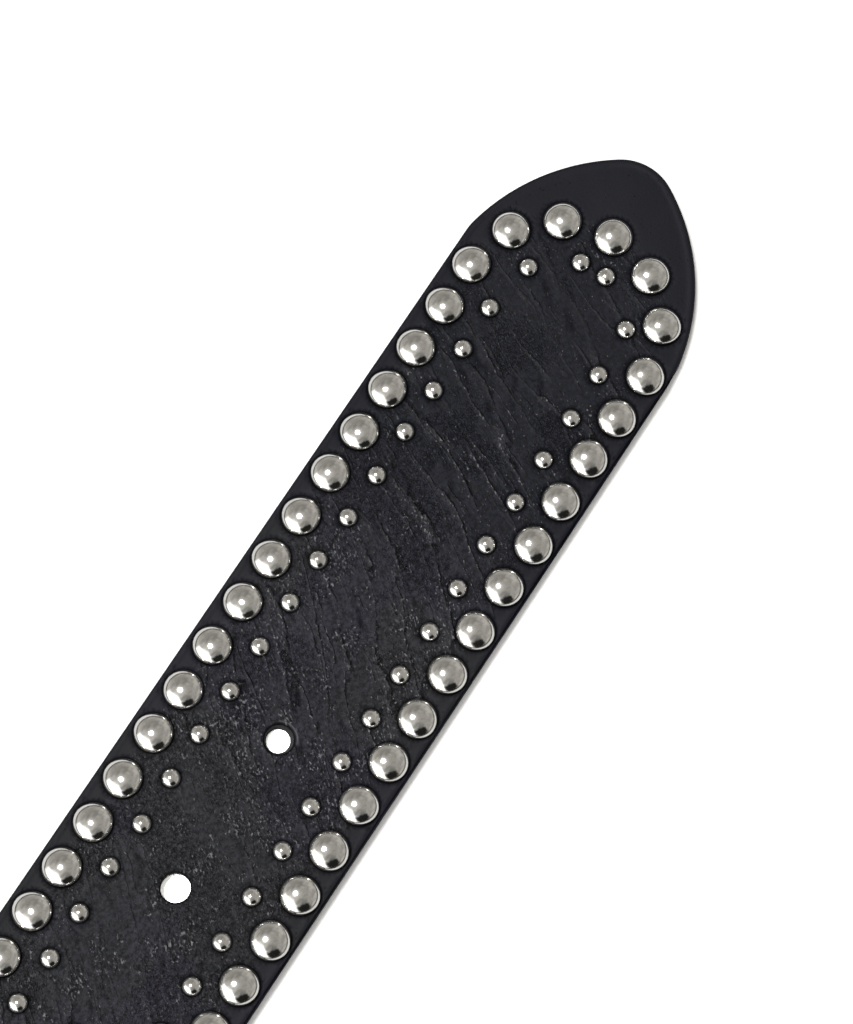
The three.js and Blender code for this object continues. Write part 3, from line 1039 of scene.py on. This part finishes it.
@dataclass
class Strap:
    """The leather strap, with its pointed end, prong holes and the fold round the bar.

    Each tuple of insets or grows places the rings of points along the outer edge or round a
    hole's rim, the slot or a stud, and the tuple of drops after it says how far the leather
    falls away at each ring. The names with back in them are the flesh side's.
    """

    plan: StudPlan
    relief: LeatherRelief
    outline: PlanOutline = field(default_factory=PlanOutline)
    path: StrapPath = field(default_factory=StrapPath)
    fine_grid: float = 0.56
    coarse_grid: float = 1.35
    back_grid: float = 4.0
    edge_insets: tuple[float, ...] = (0.0, 0.1, 0.3, 0.62, 0.95, 1.2, 1.5)
    edge_drops: tuple[float, ...] = (0.85, 0.4, 0.17, 0.05, 0.0, 0.015, 0.0)
    rim_grows: tuple[float, ...] = (0.0, 0.1, 0.22, 0.36, 0.52, 0.7, 1.1)
    rim_drops: tuple[float, ...] = (0.28, 0.12, 0.04, -0.02, -0.05, -0.04, 0.0)
    slot_grows: tuple[float, ...] = (0.0, 0.15, 0.45)
    slot_drops: tuple[float, ...] = (0.3, 0.1, 0.0)
    rim_relief: float = 0.3
    stud_grows: tuple[float, ...] = (-0.25, 0.06, 0.26, 0.46, 0.78)
    far_stud_grows: tuple[float, ...] = (-0.3, 0.1, 0.65)
    back_insets: tuple[float, ...] = (0.0, 0.25, 0.6)
    back_drops: Pair = (0.45, 0.08)
    back_rim_grows: Pair = (0.0, 0.3)
    back_slot_grows: Pair = (0.0, 0.4)
    slot_half_width: float = 2.6
    slot_reach: float = 9.0
    contact_shade_reach: float = 0.16
    rim_reach: float = 0.24
    lip_side: Pair = (0.94, -0.34)
    lip_out: float = 0.5
    lip_width: float = 0.13
    calm_from: float = 15.0
    calm_ahead: float = 26.0
    worn_from: float = 28.0
    worn_over: float = 24.0
    sparse_at: float = 112.0
    sparse_reach: float = 22.0

    @property
    def slot(self) -> Pair:
        """The prong slot's middle x, and half the way between the middles of its round ends."""
        wrap = math.pi * self.path.middle / 2
        return BAR_X - wrap, self.slot_reach + wrap - self.slot_half_width

    def slot_ring(self, grow: float, count: int = 14) -> np.ndarray:
        """Traces the prong's slot, a long hole with round ends.

        Args:
            grow: How much larger than the slot the ring is.
            count: How many points each round end has.

        Returns:
            Rows of x and y.
        """
        middle, half = self.slot
        radius = self.slot_half_width + grow
        turns = np.linspace(-math.pi / 2, math.pi / 2, count)
        front = np.column_stack([middle + half + radius * np.cos(turns), radius * np.sin(turns)])
        side = np.linspace(half, -half, 26)[1:-1]
        both = np.concatenate([front, np.column_stack([middle + side, np.full(len(side), radius)])])
        return np.concatenate([both, (2 * middle, 0) - both])

    def slot_depth(self, points: np.ndarray) -> np.ndarray:
        """Gives each point's distance outside the slot, negative inside it."""
        middle, half = self.slot
        along = np.maximum(np.abs(points[:, 0] - middle) - half, 0)
        return np.hypot(along, points[:, 1]) - self.slot_half_width

    def grid(self, spacing: float, low: float, high: float) -> np.ndarray:
        """Gives staggered points, a little uneven.

        Args:
            spacing: How far apart they are.
            low: The lowest flat x.
            high: The highest flat x.

        Returns:
            Rows of x and y.
        """
        chance = np.random.default_rng(SEED + round(spacing * 100))
        parts = []
        for number, y in enumerate(np.arange(-self.outline.half, self.outline.half, spacing * 0.866)):
            x = np.arange(low + (number % 2) * spacing / 2, high, spacing)
            parts.append(np.column_stack([x, np.full(len(x), y)]))
        points = np.concatenate(parts)
        return points + chance.uniform(-0.12, 0.12, points.shape) * spacing

    def stud_rings(self) -> list[np.ndarray]:
        """Gives rings of points in the hollows round the studs, finer in the pointed end."""
        rings = []
        for centres, radius, _ in self.plan.groups():
            for x, y in centres:
                fine = x > FINE_FROM
                grows = self.stud_grows if fine else self.far_stud_grows
                count = round((13 if fine else 7) * radius) + 4
                rings.extend(circle((x, y), radius + grow, round(count * (0.6 if number > 2 else 1.0)))
                             for number, grow in enumerate(grows))
        return rings

    def hole_rings(self, flesh_side: bool) -> list[list[np.ndarray]]:
        """Gives each hole's rings and then the slot's, its own edge first and then those round it."""
        grows = self.back_rim_grows if flesh_side else self.rim_grows
        slot_grows = self.back_slot_grows if flesh_side else self.slot_grows
        groups = []
        for hole in self.plan.holes:
            middle, radius = hole.rim(flesh_side)
            count = 44 if hole.x > FINE_FROM else 28
            groups.append([circle(middle, radius + grow, count) for grow in grows])
        return groups + [[self.slot_ring(grow) for grow in slot_grows]]

    def face_points(self, flesh_side: bool) -> tuple[list[list[np.ndarray]], np.ndarray]:
        """Gathers one surface's flat points.

        Args:
            flesh_side: Whether it is the flesh side.

        Returns:
            The outer edge's rings, each hole's and the slot's, as groups; and all the points,
            with those of the rings first and in that order.
        """
        edge, normals = self.outline.trace()
        insets = self.back_insets if flesh_side else self.edge_insets
        groups = [[edge - normals * inset for inset in insets]] + self.hole_rings(flesh_side)
        tail, nose = self.outline.tail_x, TIP_X + 30
        grids = [(self.coarse_grid, tail, FINE_FROM), (self.fine_grid, FINE_FROM, nose)]
        loose = [] if flesh_side else self.stud_rings()
        for spacing, low, high in [(self.back_grid, tail, nose)] if flesh_side else grids:
            points = self.grid(spacing, low, high)
            keep = inside_depth(points, edge, normals) > insets[-1] + spacing * 0.5
            keep &= self.slot_depth(points) > self.slot_grows[-1] + spacing * 0.5
            for hole in self.plan.holes:
                clear = hole.top + self.rim_grows[-1] + spacing * 0.4
                keep &= np.hypot(points[:, 0] - hole.x, points[:, 1] - hole.y) > clear
            for centres, radius, _ in [] if flesh_side else self.plan.groups():
                keep &= nearest(points, centres) > radius + 0.7 + spacing * 0.35
            loose.append(points[keep])
        return groups, np.concatenate([ring for group in groups for ring in group] + loose)

    def triangles(self, points: np.ndarray, loops: list[np.ndarray], flesh_side: bool) -> np.ndarray:
        """Joins flat points into triangles, leaving the holes and the slot open.

        Args:
            points: Rows of x and y.
            loops: The point numbers of each closed edge.
            flesh_side: Whether it is the flesh side.

        Returns:
            Rows of three point numbers.
        """
        edges = [(int(a), int(b)) for loop in loops for a, b in zip(loop, np.roll(loop, -1))]
        found = delaunay_2d_cdt([Vector(p) for p in points], edges, [], 0, 1e-6)
        origin = np.array([sources[0] for sources in found[3]])
        faces = origin[np.array(found[2])]
        middle = points[faces].mean(axis=1)
        keep = self.slot_depth(middle) > 0
        chord = 0.996  # the rim's sides run a little inside its circle
        for hole in self.plan.holes:
            (x, y), radius = hole.rim(flesh_side)
            keep &= np.hypot(middle[:, 0] - x, middle[:, 1] - y) > radius * chord
        return faces[keep]

    def lifts(self, flat: np.ndarray, groups: list[list[np.ndarray]]) -> np.ndarray:
        """Gives the grain side's height, with its softly dropping edges and rims.

        Args:
            flat: Rows of flat x and y.
            groups: The groups of rings that the rows start with.

        Returns:
            How far each point stands out of the plain surface.
        """
        lift = self.relief.height(*flat.T)
        drops = [self.edge_drops] + [self.rim_drops] * len(self.plan.holes) + [self.slot_drops]
        start = 0
        for group, falls in zip(groups, drops):
            for number, (ring, fall) in enumerate(zip(group, falls)):
                kept = number / (len(group) - 1) if group is groups[0] else self.rim_relief
                end = start + len(ring)
                lift[start:end] = lift[start:end] * kept - fall
                start = end
        flap = flat[:, 0] < BAR_X - math.pi * self.path.middle
        return np.where(flap, np.minimum(lift, 0), lift)

    def point_fields(self, flat: np.ndarray) -> dict[str, np.ndarray]:
        """Works out the fields that the leather's finish reads.

        Args:
            flat: Rows of flat x and y.

        Returns:
            One value from 0 to 1 for each point, by the field's name.
        """
        x, y = flat.T
        large, small, rivets = (nearest(flat, centres) - radius for centres, radius, _ in self.plan.groups())
        first = self.plan.holes[0]
        rim = nearest(flat, np.array([(hole.x, hole.y) for hole in self.plan.holes])) - first.top
        beside = np.maximum(np.minimum(np.minimum(large, small), rivets) - 0.1, 0)
        # The lip glint is a painted highlight on the side of the first hole's rim that faces the light.
        facing = (flat - (first.x, first.y)) @ self.lip_side
        lip_glint = bell(rim - self.lip_out, self.lip_width) * np.clip(facing / first.top - 0.55, 0, 0.5)
        outside = np.clip((np.hypot(np.maximum(x - TIP_X, 0), y) - self.calm_from) / 3, 0, 1)
        ahead = np.clip((x - TIP_X) / self.calm_ahead + 1, 0, 1)
        return {
            # Painted contact shade: where the leather meets a stud or a hole's rim it is darkened as if
            # shaded.
            "contact_shade": np.maximum(bell(beside, self.contact_shade_reach), bell(np.maximum(rim, 0), self.rim_reach)),
            "pull": bell(large - 1.1, 1.0) * bell(small - 1.1, 1.2),
            "calm": np.maximum(outside, 0.3 * ahead),
            "worn": np.clip((TIP_X - self.worn_from - x) / self.worn_over, 0, 1),
            "handled": bell(x - first.x + 1, 8) * bell(y - first.y - 7, 4.5),
            "lip_glint": np.where(np.hypot(x - first.x, y - first.y) < 4, lip_glint, 0),
            "sparse": 0.65 * np.clip(1.4 - np.abs(x - TIP_X + self.sparse_at) / self.sparse_reach, 0, 1),
        }

    def build(self, sides: list[Material]) -> Piece:
        """Builds the strap.

        Args:
            sides: The materials of the grain side, the cut edges and the flesh side.

        Returns:
            The strap's piece.
        """
        draft = MeshDraft()
        groups, flat = self.face_points(False)
        fields = self.point_fields(flat)
        top = draft.add_points(self.path.place(flat, self.lifts(flat, groups)), **fields)
        top_loops = first_rings(groups)
        draft.add_faces(top[self.triangles(flat, top_loops, False)], 0)
        groups, flat = self.face_points(True)
        lift = np.zeros(len(flat))
        for number, drop in enumerate(self.back_drops):
            count = len(groups[0][number])
            lift[number * count:(number + 1) * count] = -drop
        plain = {name: np.zeros(len(flat)) for name in fields}
        bottom = draft.add_points(self.path.place(flat, lift, True), **plain)
        bottom_loops = first_rings(groups)
        draft.add_faces(bottom[self.triangles(flat, bottom_loops, True)], 2)
        for high, low in zip(top_loops, bottom_loops):
            draft.band(bottom[low], top[high], 1)
        piece = draft.to_object("strap_leather", sides)
        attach(piece, "root")
        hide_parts("strap")
        return piece


def first_rings(groups: list[list[np.ndarray]]) -> list[np.ndarray]:
    """Numbers the points of each group's first ring, where all the rings are joined in order."""
    starts = np.cumsum([0] + [sum(len(ring) for ring in group) for group in groups])
    return [np.arange(start, start + len(group[0])) for start, group in zip(starts, groups)]


class StudKind(Enum):
    """The two sizes of dome stud: radius, height, and how many sides and rings a fine one has."""

    LARGE = (3.06, 1.45, 40, 11)
    SMALL = (1.50, 0.88, 24, 8)


@dataclass
class StudField:
    """Every stud of one size, each set a little askew and leaning with the strap's crown."""

    kind: StudKind
    places: np.ndarray
    seats: np.ndarray
    leans: np.ndarray
    tilt: float = math.radians(0.9)
    dent: float = 0.007
    rim_turn: float = math.radians(68)
    skirt: float = 0.28
    far_share: float = 0.56

    def profile(self, fine: bool) -> np.ndarray:
        """Gives the dome's section, from the crown out and down under the leather.

        Args:
            fine: Whether the stud is in the pointed end.

        Returns:
            Rows of radius and height.
        """
        radius, height, _, rings = self.kind.value
        turns = np.linspace(0.08, 1.0, rings if fine else rings - 4) * self.rim_turn
        across = radius / math.sin(self.rim_turn)
        tall = height / (1 - math.cos(self.rim_turn))
        crown = np.column_stack([across * np.sin(turns), height - tall * (1 - np.cos(turns))])
        roll = [(1.006, -0.05), (1.004, -0.12), (0.99, -self.skirt), (0.94, -self.skirt - 0.75)]
        return np.concatenate([crown, [(radius * share, drop) for share, drop in roll]])

    def add_stud(self, draft: MeshDraft, chance: np.random.Generator, spot: np.ndarray,
                 outward: np.ndarray) -> None:
        """Adds one stud.

        Args:
            draft: The studs' draft.
            chance: What its turn, dents and tilt are drawn from.
            spot: Its middle.
            outward: The slope in x and y that it leans with.
        """
        fine = spot[0] > FINE_FROM
        _, height, sides, _ = self.kind.value
        count = sides if fine else round(sides * self.far_share)
        turns = np.arange(count) * 2 * math.pi / count + chance.uniform(0, 1)
        wave = self.dent * np.sin(2 * turns + chance.uniform(0, 6))
        wave += self.dent * np.sin(3 * turns + chance.uniform(0, 6))
        lean = outward + chance.normal(0, self.tilt, 2)
        profile = self.profile(fine)
        rings = []
        for radius, z in profile:
            reach = radius * (1 + wave * min(1.0, radius / profile[:, 0].max()) ** 6)
            x, y = reach * np.cos(turns), reach * np.sin(turns)
            rings.append(draft.add_points(np.column_stack([x, y, z + x * lean[0] + y * lean[1]]) + spot))
        crown = draft.add_points(spot + [[0, 0, height]])
        draft.add_faces(np.column_stack([np.full(count, crown), rings[0], np.roll(rings[0], -1)]))
        for outer, inner in zip(rings, rings[1:]):
            draft.band(outer, inner)
        draft.add_faces([rings[-1][::-1]])

    def build(self, name: str, nickel: NickelFinish) -> Piece:
        """Builds the studs as one piece.

        Args:
            name: The piece's name.
            nickel: Their finish.

        Returns:
            The studs' piece.
        """
        draft = MeshDraft()
        chance = np.random.default_rng(SEED + self.kind.value[2])
        sunk = self.skirt * (1.0 if self.kind is StudKind.LARGE else 0.7)
        for (x, y), seat, outward in zip(self.places, self.seats, self.leans):
            self.add_stud(draft, chance, np.array([x, y, seat + sunk]), outward)
        piece = draft.to_object(name, [nickel.build()])
        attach(piece, "root")
        return piece


def soft_bar(half_width: float, half_height: float, count: int, squareness: float) -> np.ndarray:
    """Traces a bar's section, a rectangle with well rounded edges.

    Args:
        half_width: Half its width.
        half_height: Half its height.
        count: How many points go round it.
        squareness: 2 gives an ellipse, more gives flatter sides.

    Returns:
        Rows of place across and place up.
    """
    turns = np.arange(count) * 2 * math.pi / count
    across, up = (np.sign(part) * np.abs(part) ** (2 / squareness) for part in (np.cos(turns), np.sin(turns)))
    return np.column_stack([half_width * across, half_height * up])


def round_rectangle(low: Pair, high: Pair, radii: Pair, arc_count: int,
                    side_counts: tuple[int, int]) -> tuple[np.ndarray, np.ndarray]:
    """Traces a rectangle with round corners, anticlockwise from its far lower corner.

    Args:
        low: The lowest corner.
        high: The highest corner.
        radii: The corner radius at the low first coordinate and at the high one.
        arc_count: Points on each corner.
        side_counts: Points inside the sides along the second and the first coordinate.

    Returns:
        The points and their outward normals.
    """
    near, far = radii
    corners = [
        (high[0] - far, low[1] + far, far, -90), (high[0] - far, high[1] - far, far, 0),
        (low[0] + near, high[1] - near, near, 90), (low[0] + near, low[1] + near, near, 180),
    ]
    arcs = []
    for x, y, radius, start in corners:
        turns = np.radians(np.linspace(start, start + 90, arc_count))
        out = np.column_stack([np.cos(turns), np.sin(turns)])
        arcs.append(np.column_stack([radius * out + (x, y), out]))
    parts = []
    for number, (arc, following) in enumerate(zip(arcs, arcs[1:] + arcs[:1])):
        share = np.linspace(0, 1, side_counts[number % 2] + 2)[1:-1, None]
        side = arc[-1, :2] + (following[0, :2] - arc[-1, :2]) * share
        parts += [arc, np.column_stack([side, np.tile(arc[-1, 2:], (len(side), 1))])]
    table = np.concatenate(parts)
    return table[:, :2], table[:, 2:]


@dataclass
class Keeper:
    """The leather loop that takes the pointed end, standing up round the strap."""

    from_bar: float = 21.0
    width: float = 10.0
    wall: float = 1.6
    inner_half: float = 20.7
    floor: float = 2.7
    height: float = 13.0
    corner: float = 2.4
    sag: float = 0.35
    squareness: float = 5.0
    edge: float = 0.28

    def build(self, sides: list[Material]) -> Piece:
        """Builds the loop as one band of leather.

        Args:
            sides: The materials of the outer side, the cut edges and the inner side.

        Returns:
            The loop's piece.
        """
        half = self.wall / 2
        outer = self.inner_half + self.wall
        radius = self.corner - half
        points, normals = round_rectangle(
            (self.floor + half, -outer + half), (self.floor + self.height - half, outer - half),
            (radius, radius), 8, (46, 14))
        section = soft_bar(self.width / 2, half, 36, self.squareness)
        across = section[:, 0]
        draft = MeshDraft()
        wave = LatticeNoise(5.0, SEED + 9)
        rows = []
        for (z, y), (nz, ny) in zip(points, normals):
            drop = self.sag * max(0.0, (z - self.floor) / self.height) * max(0.0, 1 - (y / outer) ** 2)
            out = section[:, 1] + 0.05 * wave(across, np.full(len(across), y + 3 * z))
            rows.append(draft.add_points(
                np.column_stack([BAR_X + self.from_bar + across, y + ny * out, z - drop + nz * out])))
        near_edge = np.abs(across) > self.width / 2 - self.edge
        slots = np.where(near_edge, 1, np.where(section[:, 1] > 0, 0, 2))
        draft.tube(rows, np.where(slots == np.roll(slots, -1), slots, 1).tolist())
        piece = draft.to_object("keeper", sides)
        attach(piece, "root")
        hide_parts("keeper_loop")
        return piece


@dataclass
class Buckle:
    """The one-piece frame with its heel bar, and the prong rooted on that bar."""

    bar_z: float = 4.692
    bar_width: float = 3.8
    thickness: float = 3.6
    side: float = 4.2
    reach: float = 27.0
    inner_half: float = 20.7
    front_corner: float = 7.0
    heel_corner: float = 2.4
    heel_inner_corner: float = 1.4
    edge: float = 1.2
    squareness: float = 3.1
    prong_squareness: float = 2.8
    eye_squareness: float = 3.0
    prong_width: float = 3.4
    prong_thickness: float = 2.6
    prong_gap: float = 0.3
    prong_bend: float = 12.0
    prong_nose: float = 4.0
    prong_overhang: float = 0.8
    eye_radius: float = 3.3
    eye_hole: float = 2.2

    @property
    def tilt(self) -> float:
        """The turn about the heel bar that lays the front bar on the table."""
        foot_x = self.reach + self.bar_width / 2 - self.edge
        foot_z = self.thickness / 2
        return math.asin(self.bar_z / math.hypot(foot_x, foot_z)) - math.atan2(foot_z, foot_x)

    def settle(self, points: np.ndarray) -> np.ndarray:
        """Moves points from the buckle's own axes to the frame's."""
        cos, sin = math.cos(-self.tilt), math.sin(-self.tilt)
        x, y, z = points.T
        return np.column_stack([BAR_X + x * cos + z * sin, y, self.bar_z - x * sin + z * cos])

    def add_frame(self, draft: MeshDraft) -> None:
        """Adds the frame, a soft-edged bar swept round between its two outlines.

        Args:
            draft: The buckle's draft.
        """
        half_bar = self.bar_width / 2
        far_half = self.inner_half + self.side
        outer, _ = round_rectangle((-self.reach - half_bar, -far_half), (half_bar, far_half),
                                   (self.front_corner, self.heel_corner), 14, (40, 22))
        inner, _ = round_rectangle((-self.reach + half_bar, -self.inner_half), (-half_bar, self.inner_half),
                                   (self.front_corner - self.bar_width, self.heel_inner_corner), 14, (40, 22))
        rows = []
        for far, near in zip(outer, inner):
            span = far - near
            wide = np.linalg.norm(span)
            section = soft_bar(wide / 2, self.thickness / 2, 28, self.squareness)
            flat = (far + near) / 2 + np.outer(section[:, 0], span / wide)
            rows.append(draft.add_points(self.settle(np.column_stack([flat, section[:, 1]]))))
        draft.tube(rows)

    def prong_rows(self) -> list[tuple[float, float, float, float]]:
        """Lists the prong's sections.

        Returns:
            Each one's place along the prong, its bottom, its top and half its width.
        """
        low = self.thickness / 2 + self.prong_gap
        high = low + self.prong_thickness
        tip = -(self.reach + self.bar_width / 2 + self.prong_overhang)
        rows = []
        bend = -self.prong_bend
        for x in np.concatenate([np.linspace(0, bend, 16), np.linspace(bend, tip, 26)[1:]]):
            share = min(1.0, -x / self.prong_bend)
            bottom = self.eye_hole * 0.2 * (1 - smooth(share)) + low * smooth(share)
            top = self.eye_radius + (high - self.eye_radius) * smooth(share)
            nose = min(1.0, (x - tip) / self.prong_nose)
            bottom -= (self.prong_gap - 0.02) * (1 - nose)
            fall = 1 - math.sqrt(max(0.0, 1 - (1 - nose) ** 2))
            top -= (top - bottom) * 0.8 * fall
            rows.append((x, bottom, top, self.prong_width / 2 * (1 - 0.06 * share - 0.3 * fall)))
        return rows

    def add_prong(self, draft: MeshDraft) -> None:
        """Adds the prong and the eye that holds it on the bar.

        Args:
            draft: The buckle's draft.
        """
        rows = []
        for x, bottom, top, half in self.prong_rows():
            across, up = soft_bar(half, (top - bottom) / 2, 24, self.prong_squareness).T
            rows.append(draft.add_points(self.settle(
                np.column_stack([np.full(len(across), x), across, (top + bottom) / 2 + up]))))
        for near, far in zip(rows, rows[1:]):
            draft.band(near, far)
        draft.add_faces([rows[0], rows[-1][::-1]])
        wall = self.eye_radius - self.eye_hole
        across, up = soft_bar(self.prong_width / 2, wall / 2, 20, self.eye_squareness).T
        out = (self.eye_radius + self.eye_hole) / 2 + up
        draft.tube([
            draft.add_points(self.settle(np.column_stack([out * cos, across, out * sin])))
            for cos, sin in circle((0.0, 0.0), 1.0, 48)])

    def build(self, nickel: NickelFinish) -> Piece:
        """Builds the buckle.

        Args:
            nickel: Its finish.

        Returns:
            The buckle's piece.
        """
        draft = MeshDraft()
        self.add_frame(draft)
        self.add_prong(draft)
        piece = draft.to_object("buckle_metal", [nickel.build()])
        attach(piece, "root")
        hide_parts("buckle")
        return piece


# Studio


def toward(azimuth: float, elevation: float) -> Vector:
    """Gives the unit direction at an azimuth and elevation in degrees."""
    turn, rise = math.radians(azimuth), math.radians(elevation)
    return Vector((math.cos(rise) * math.cos(turn), math.cos(rise) * math.sin(turn), math.sin(rise)))


@dataclass(frozen=True)
class SkyPatch:
    """A round patch of the surroundings with a soft edge.

    Its place and size are in degrees, the azimuth from +x towards +y. The share says how far
    its colour covers what is under it.
    """

    azimuth: float
    elevation: float
    radius: float
    soft: float
    colour: Colour
    share: float = 1.0

    def over(self, sheet: NodeSheet, direction: Socket, colour: Socket) -> Socket:
        """Lays the patch over a colour.

        Args:
            sheet: The world's sheet.
            direction: The direction looked in.
            colour: The colour so far.

        Returns:
            The colour with the patch on it.
        """
        middle = tuple(toward(self.azimuth, self.elevation))
        near = sheet.node("ShaderNodeVectorMath", {0: direction, 1: middle}, operation="DOT_PRODUCT")
        off = sheet.math("ARCCOSINE", sheet.math("MINIMUM", near.outputs["Value"], 0.99999))
        low, high = math.radians(self.radius - self.soft), math.radians(self.radius + self.soft)
        mask = sheet.remap(off, low, high, 1.0, 0.0)
        return sheet.blend(sheet.times(mask, self.share), colour, self.colour)


@dataclass
class Studio:
    """The pale floor, the soft light and the camera, placed by the pointed end."""

    lens: float = 116.0
    camera_at: tuple[float, float, float] = (TIP_X - 137.7, -52.0, 500.3)
    camera_right: tuple[float, float, float] = (0.54684, -0.83694, 0.02254)
    camera_up: tuple[float, float, float] = (0.81381, 0.53766, 0.22053)
    floor_reach: float = 3.0
    floor_z: float = -0.00006
    under_x: float = TIP_X - 100
    floor_colour: Colour = (0.82, 0.82, 0.82, 1)
    floor_seen: Colour = (1.8, 1.8, 1.8, 1)
    under_painted_light: Colour = (8.0, 8.0, 8.0, 1)
    sky_colour: Colour = (0.335, 0.324, 0.303, 1)
    low_sky_colour: Colour = (0.43, 0.42, 0.395, 1)
    ground_colour: Colour = (0.06, 0.056, 0.05, 1)
    seen_colour: Colour = (0.9, 0.9, 0.9, 1)
    haze: SkyPatch = SkyPatch(165, 15, 74, 24, (0.50, 0.49, 0.465, 1))
    dim: SkyPatch = SkyPatch(65, 36, 34, 22, (0.09, 0.085, 0.075, 1), 0.35)
    panel: SkyPatch = SkyPatch(165, 15, 44, 7, (1.7, 1.7, 1.7, 1))
    tail: SkyPatch = SkyPatch(233, 50, 22, 12, (0.03, 0.03, 0.03, 1), 0.45)
    shade: SkyPatch = SkyPatch(233, 25, 26, 5, (0.012, 0.012, 0.012, 1))
    glow: SkyPatch = SkyPatch(102.2, 75.4, 14, 14, (0.75, 0.735, 0.70, 1), 0.5)
    sway: float = 0.5
    key_angle: float = 14.0
    key_energy: float = 1.2

    def place_camera(self) -> None:
        """Adds the camera at the photograph's angle."""
        data = bpy.data.cameras.new("camera")
        data.lens = self.lens
        data.sensor_width = 36
        data.clip_end = 20
        data.clip_start = 0.01
        camera = bpy.data.objects.new("camera", data)
        right, up = Vector(self.camera_right).normalized(), Vector(self.camera_up)
        back = right.cross(up).normalized()
        turn = Matrix((right, back.cross(right), back)).transposed().to_4x4()
        camera.matrix_world = Matrix.Translation(Vector(self.camera_at) * MM) @ turn
        bpy.context.scene.collection.objects.link(camera)
        bpy.context.scene.camera = camera

    def lay_floor(self) -> None:
        """Adds the pale floor, which the camera sees brighter than the studs do.

        It is brightest right under the pointed end, where only the prong holes show it; that is
        painted light, which washes out the shade the strap casts on the floor under them.
        """
        reach = self.floor_reach
        mesh = bpy.data.meshes.new("floor")
        corners = [(-reach, -reach), (reach, -reach), (reach, reach), (-reach, reach)]
        mesh.from_pydata([(x, y, self.floor_z) for x, y in corners], [], [(0, 1, 2, 3)])
        material = bpy.data.materials.new("pale floor")
        material.use_nodes = True
        sheet = NodeSheet(material.node_tree)
        material.node_tree.nodes.remove(material.node_tree.nodes["Principled BSDF"])
        seen = sheet.node("ShaderNodeLightPath").outputs["Is Camera Ray"]
        place = sheet.parts(sheet.node("ShaderNodeTexCoord").outputs["Object"])
        side = sheet.remap(sheet.math("ABSOLUTE", place[1]), 0.016, 0.018, 1.0, 0.0)
        along = sheet.math("ABSOLUTE", sheet.less(place[0], self.under_x * MM))
        under = sheet.times(side, sheet.remap(along, 0.1, 0.11, 1.0, 0.0))
        # Painted light: the camera sees the floor far brighter under the pointed end, which washes out the
        # strap's shade seen through the prong holes.
        colour = sheet.blend(seen, self.floor_colour, sheet.blend(under, self.floor_seen, self.under_painted_light))
        matt = sheet.node("ShaderNodeBsdfDiffuse", {"Color": colour}).outputs[0]
        sheet.link(matt, sheet.tree.nodes["Material Output"].inputs["Surface"])
        mesh.materials.append(material)
        floor = bpy.data.objects.new("floor", mesh)
        bpy.context.scene.collection.objects.link(floor)

    def surround(self) -> None:
        """Adds the soft surroundings."""
        world = bpy.data.worlds.new("studio")
        world.use_nodes = True
        bpy.context.scene.world = world
        sheet = NodeSheet(world.node_tree)
        straight = sheet.node("ShaderNodeTexCoord").outputs["Generated"]
        sway = sheet.vectors("SUBTRACT", sheet.noise(straight, 3.5, 3.0, 0.6, "Color"), (0.5, 0.5, 0.5))
        swayed = sheet.vectors("NORMALIZE", sheet.vectors("ADD", straight, sheet.scaled(sway, self.sway)))
        rise = sheet.math("ARCSINE", sheet.parts(straight)[2])
        low_sky = sheet.remap(rise, math.radians(55), math.radians(12))
        colour = sheet.blend(low_sky, self.sky_colour, self.low_sky_colour)
        for patch in (self.haze, self.dim):
            colour = patch.over(sheet, swayed, colour)
        streaks = sheet.vectors("MULTIPLY", swayed, (1.0, 2.2, 1.4))
        colour = sheet.scaled(colour, sheet.remap(sheet.noise(streaks, 2.2, 4.0, 0.6), 0.3, 0.7, 0.72, 1.22))
        for patch in (self.panel, self.tail, self.shade):
            colour = patch.over(sheet, swayed, colour)
        colour = self.glow.over(sheet, straight, colour)
        ragged = sheet.plus(rise, sheet.times(sheet.noise(straight, 7.0, 2.0, 0.6), -0.16))
        horizon = sheet.remap(ragged, math.radians(-3), math.radians(9))
        colour = sheet.blend(horizon, self.ground_colour, colour)
        seen = sheet.node("ShaderNodeLightPath").outputs["Is Camera Ray"]
        colour = sheet.blend(seen, colour, self.seen_colour)
        sheet.link(colour, sheet.tree.nodes["Background"].inputs["Color"])

    def add_key(self) -> None:
        """Adds the small key light, which comes from the glow's middle."""
        data = bpy.data.lights.new("key", "SUN")
        data.energy = self.key_energy
        data.angle = math.radians(self.key_angle)
        key = bpy.data.objects.new("key", data)
        source = toward(self.glow.azimuth, self.glow.elevation)
        key.rotation_euler = source.to_track_quat("Z", "Y").to_euler()
        bpy.context.scene.collection.objects.link(key)

    def build(self) -> None:
        """Builds the whole studio."""
        self.place_camera()
        self.lay_floor()
        self.surround()
        self.add_key()
        bpy.context.scene.view_settings.view_transform = "Standard"


def main() -> None:
    """Builds the belt and its studio, and reports each piece."""
    logging.basicConfig(level=logging.INFO, format="%(name)s: %(message)s")
    LOG.info("frame loaded with %d nodes", len(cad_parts))
    Studio().build()
    LOG.info("studio placed")
    plan = StudPlan()
    relief = LeatherRelief(plan)
    strap = Strap(plan, relief)
    sides = [LeatherFinish().build(), CutEdgeFinish().build(), FleshSideFinish().build()]
    buckle_finish = NickelFinish("worn nickel", smooth=0.12, clouded=0.26, scratch=0.002, cloud_size=5.0)
    for piece in (strap.build(sides), Keeper().build(sides), Buckle().build(buckle_finish)):
        LOG.info("%s: %d faces", piece.name, len(piece.data.polygons))
    heads = np.concatenate([plan.large, plan.rivets])
    stud_finish = NickelFinish()
    kinds = [(StudKind.LARGE, heads, "large_studs"), (StudKind.SMALL, plan.small, "small_studs")]
    for kind, places, name in kinds:
        seats = strap.path.surfaces(places[:, 0])[0][:, 1] - relief.crown(places)
        piece = StudField(kind, places, seats, relief.lean(places)).build(name, stud_finish)
        LOG.info("%s: %d faces", piece.name, len(piece.data.polygons))


if __name__ == "__main__":
    main()
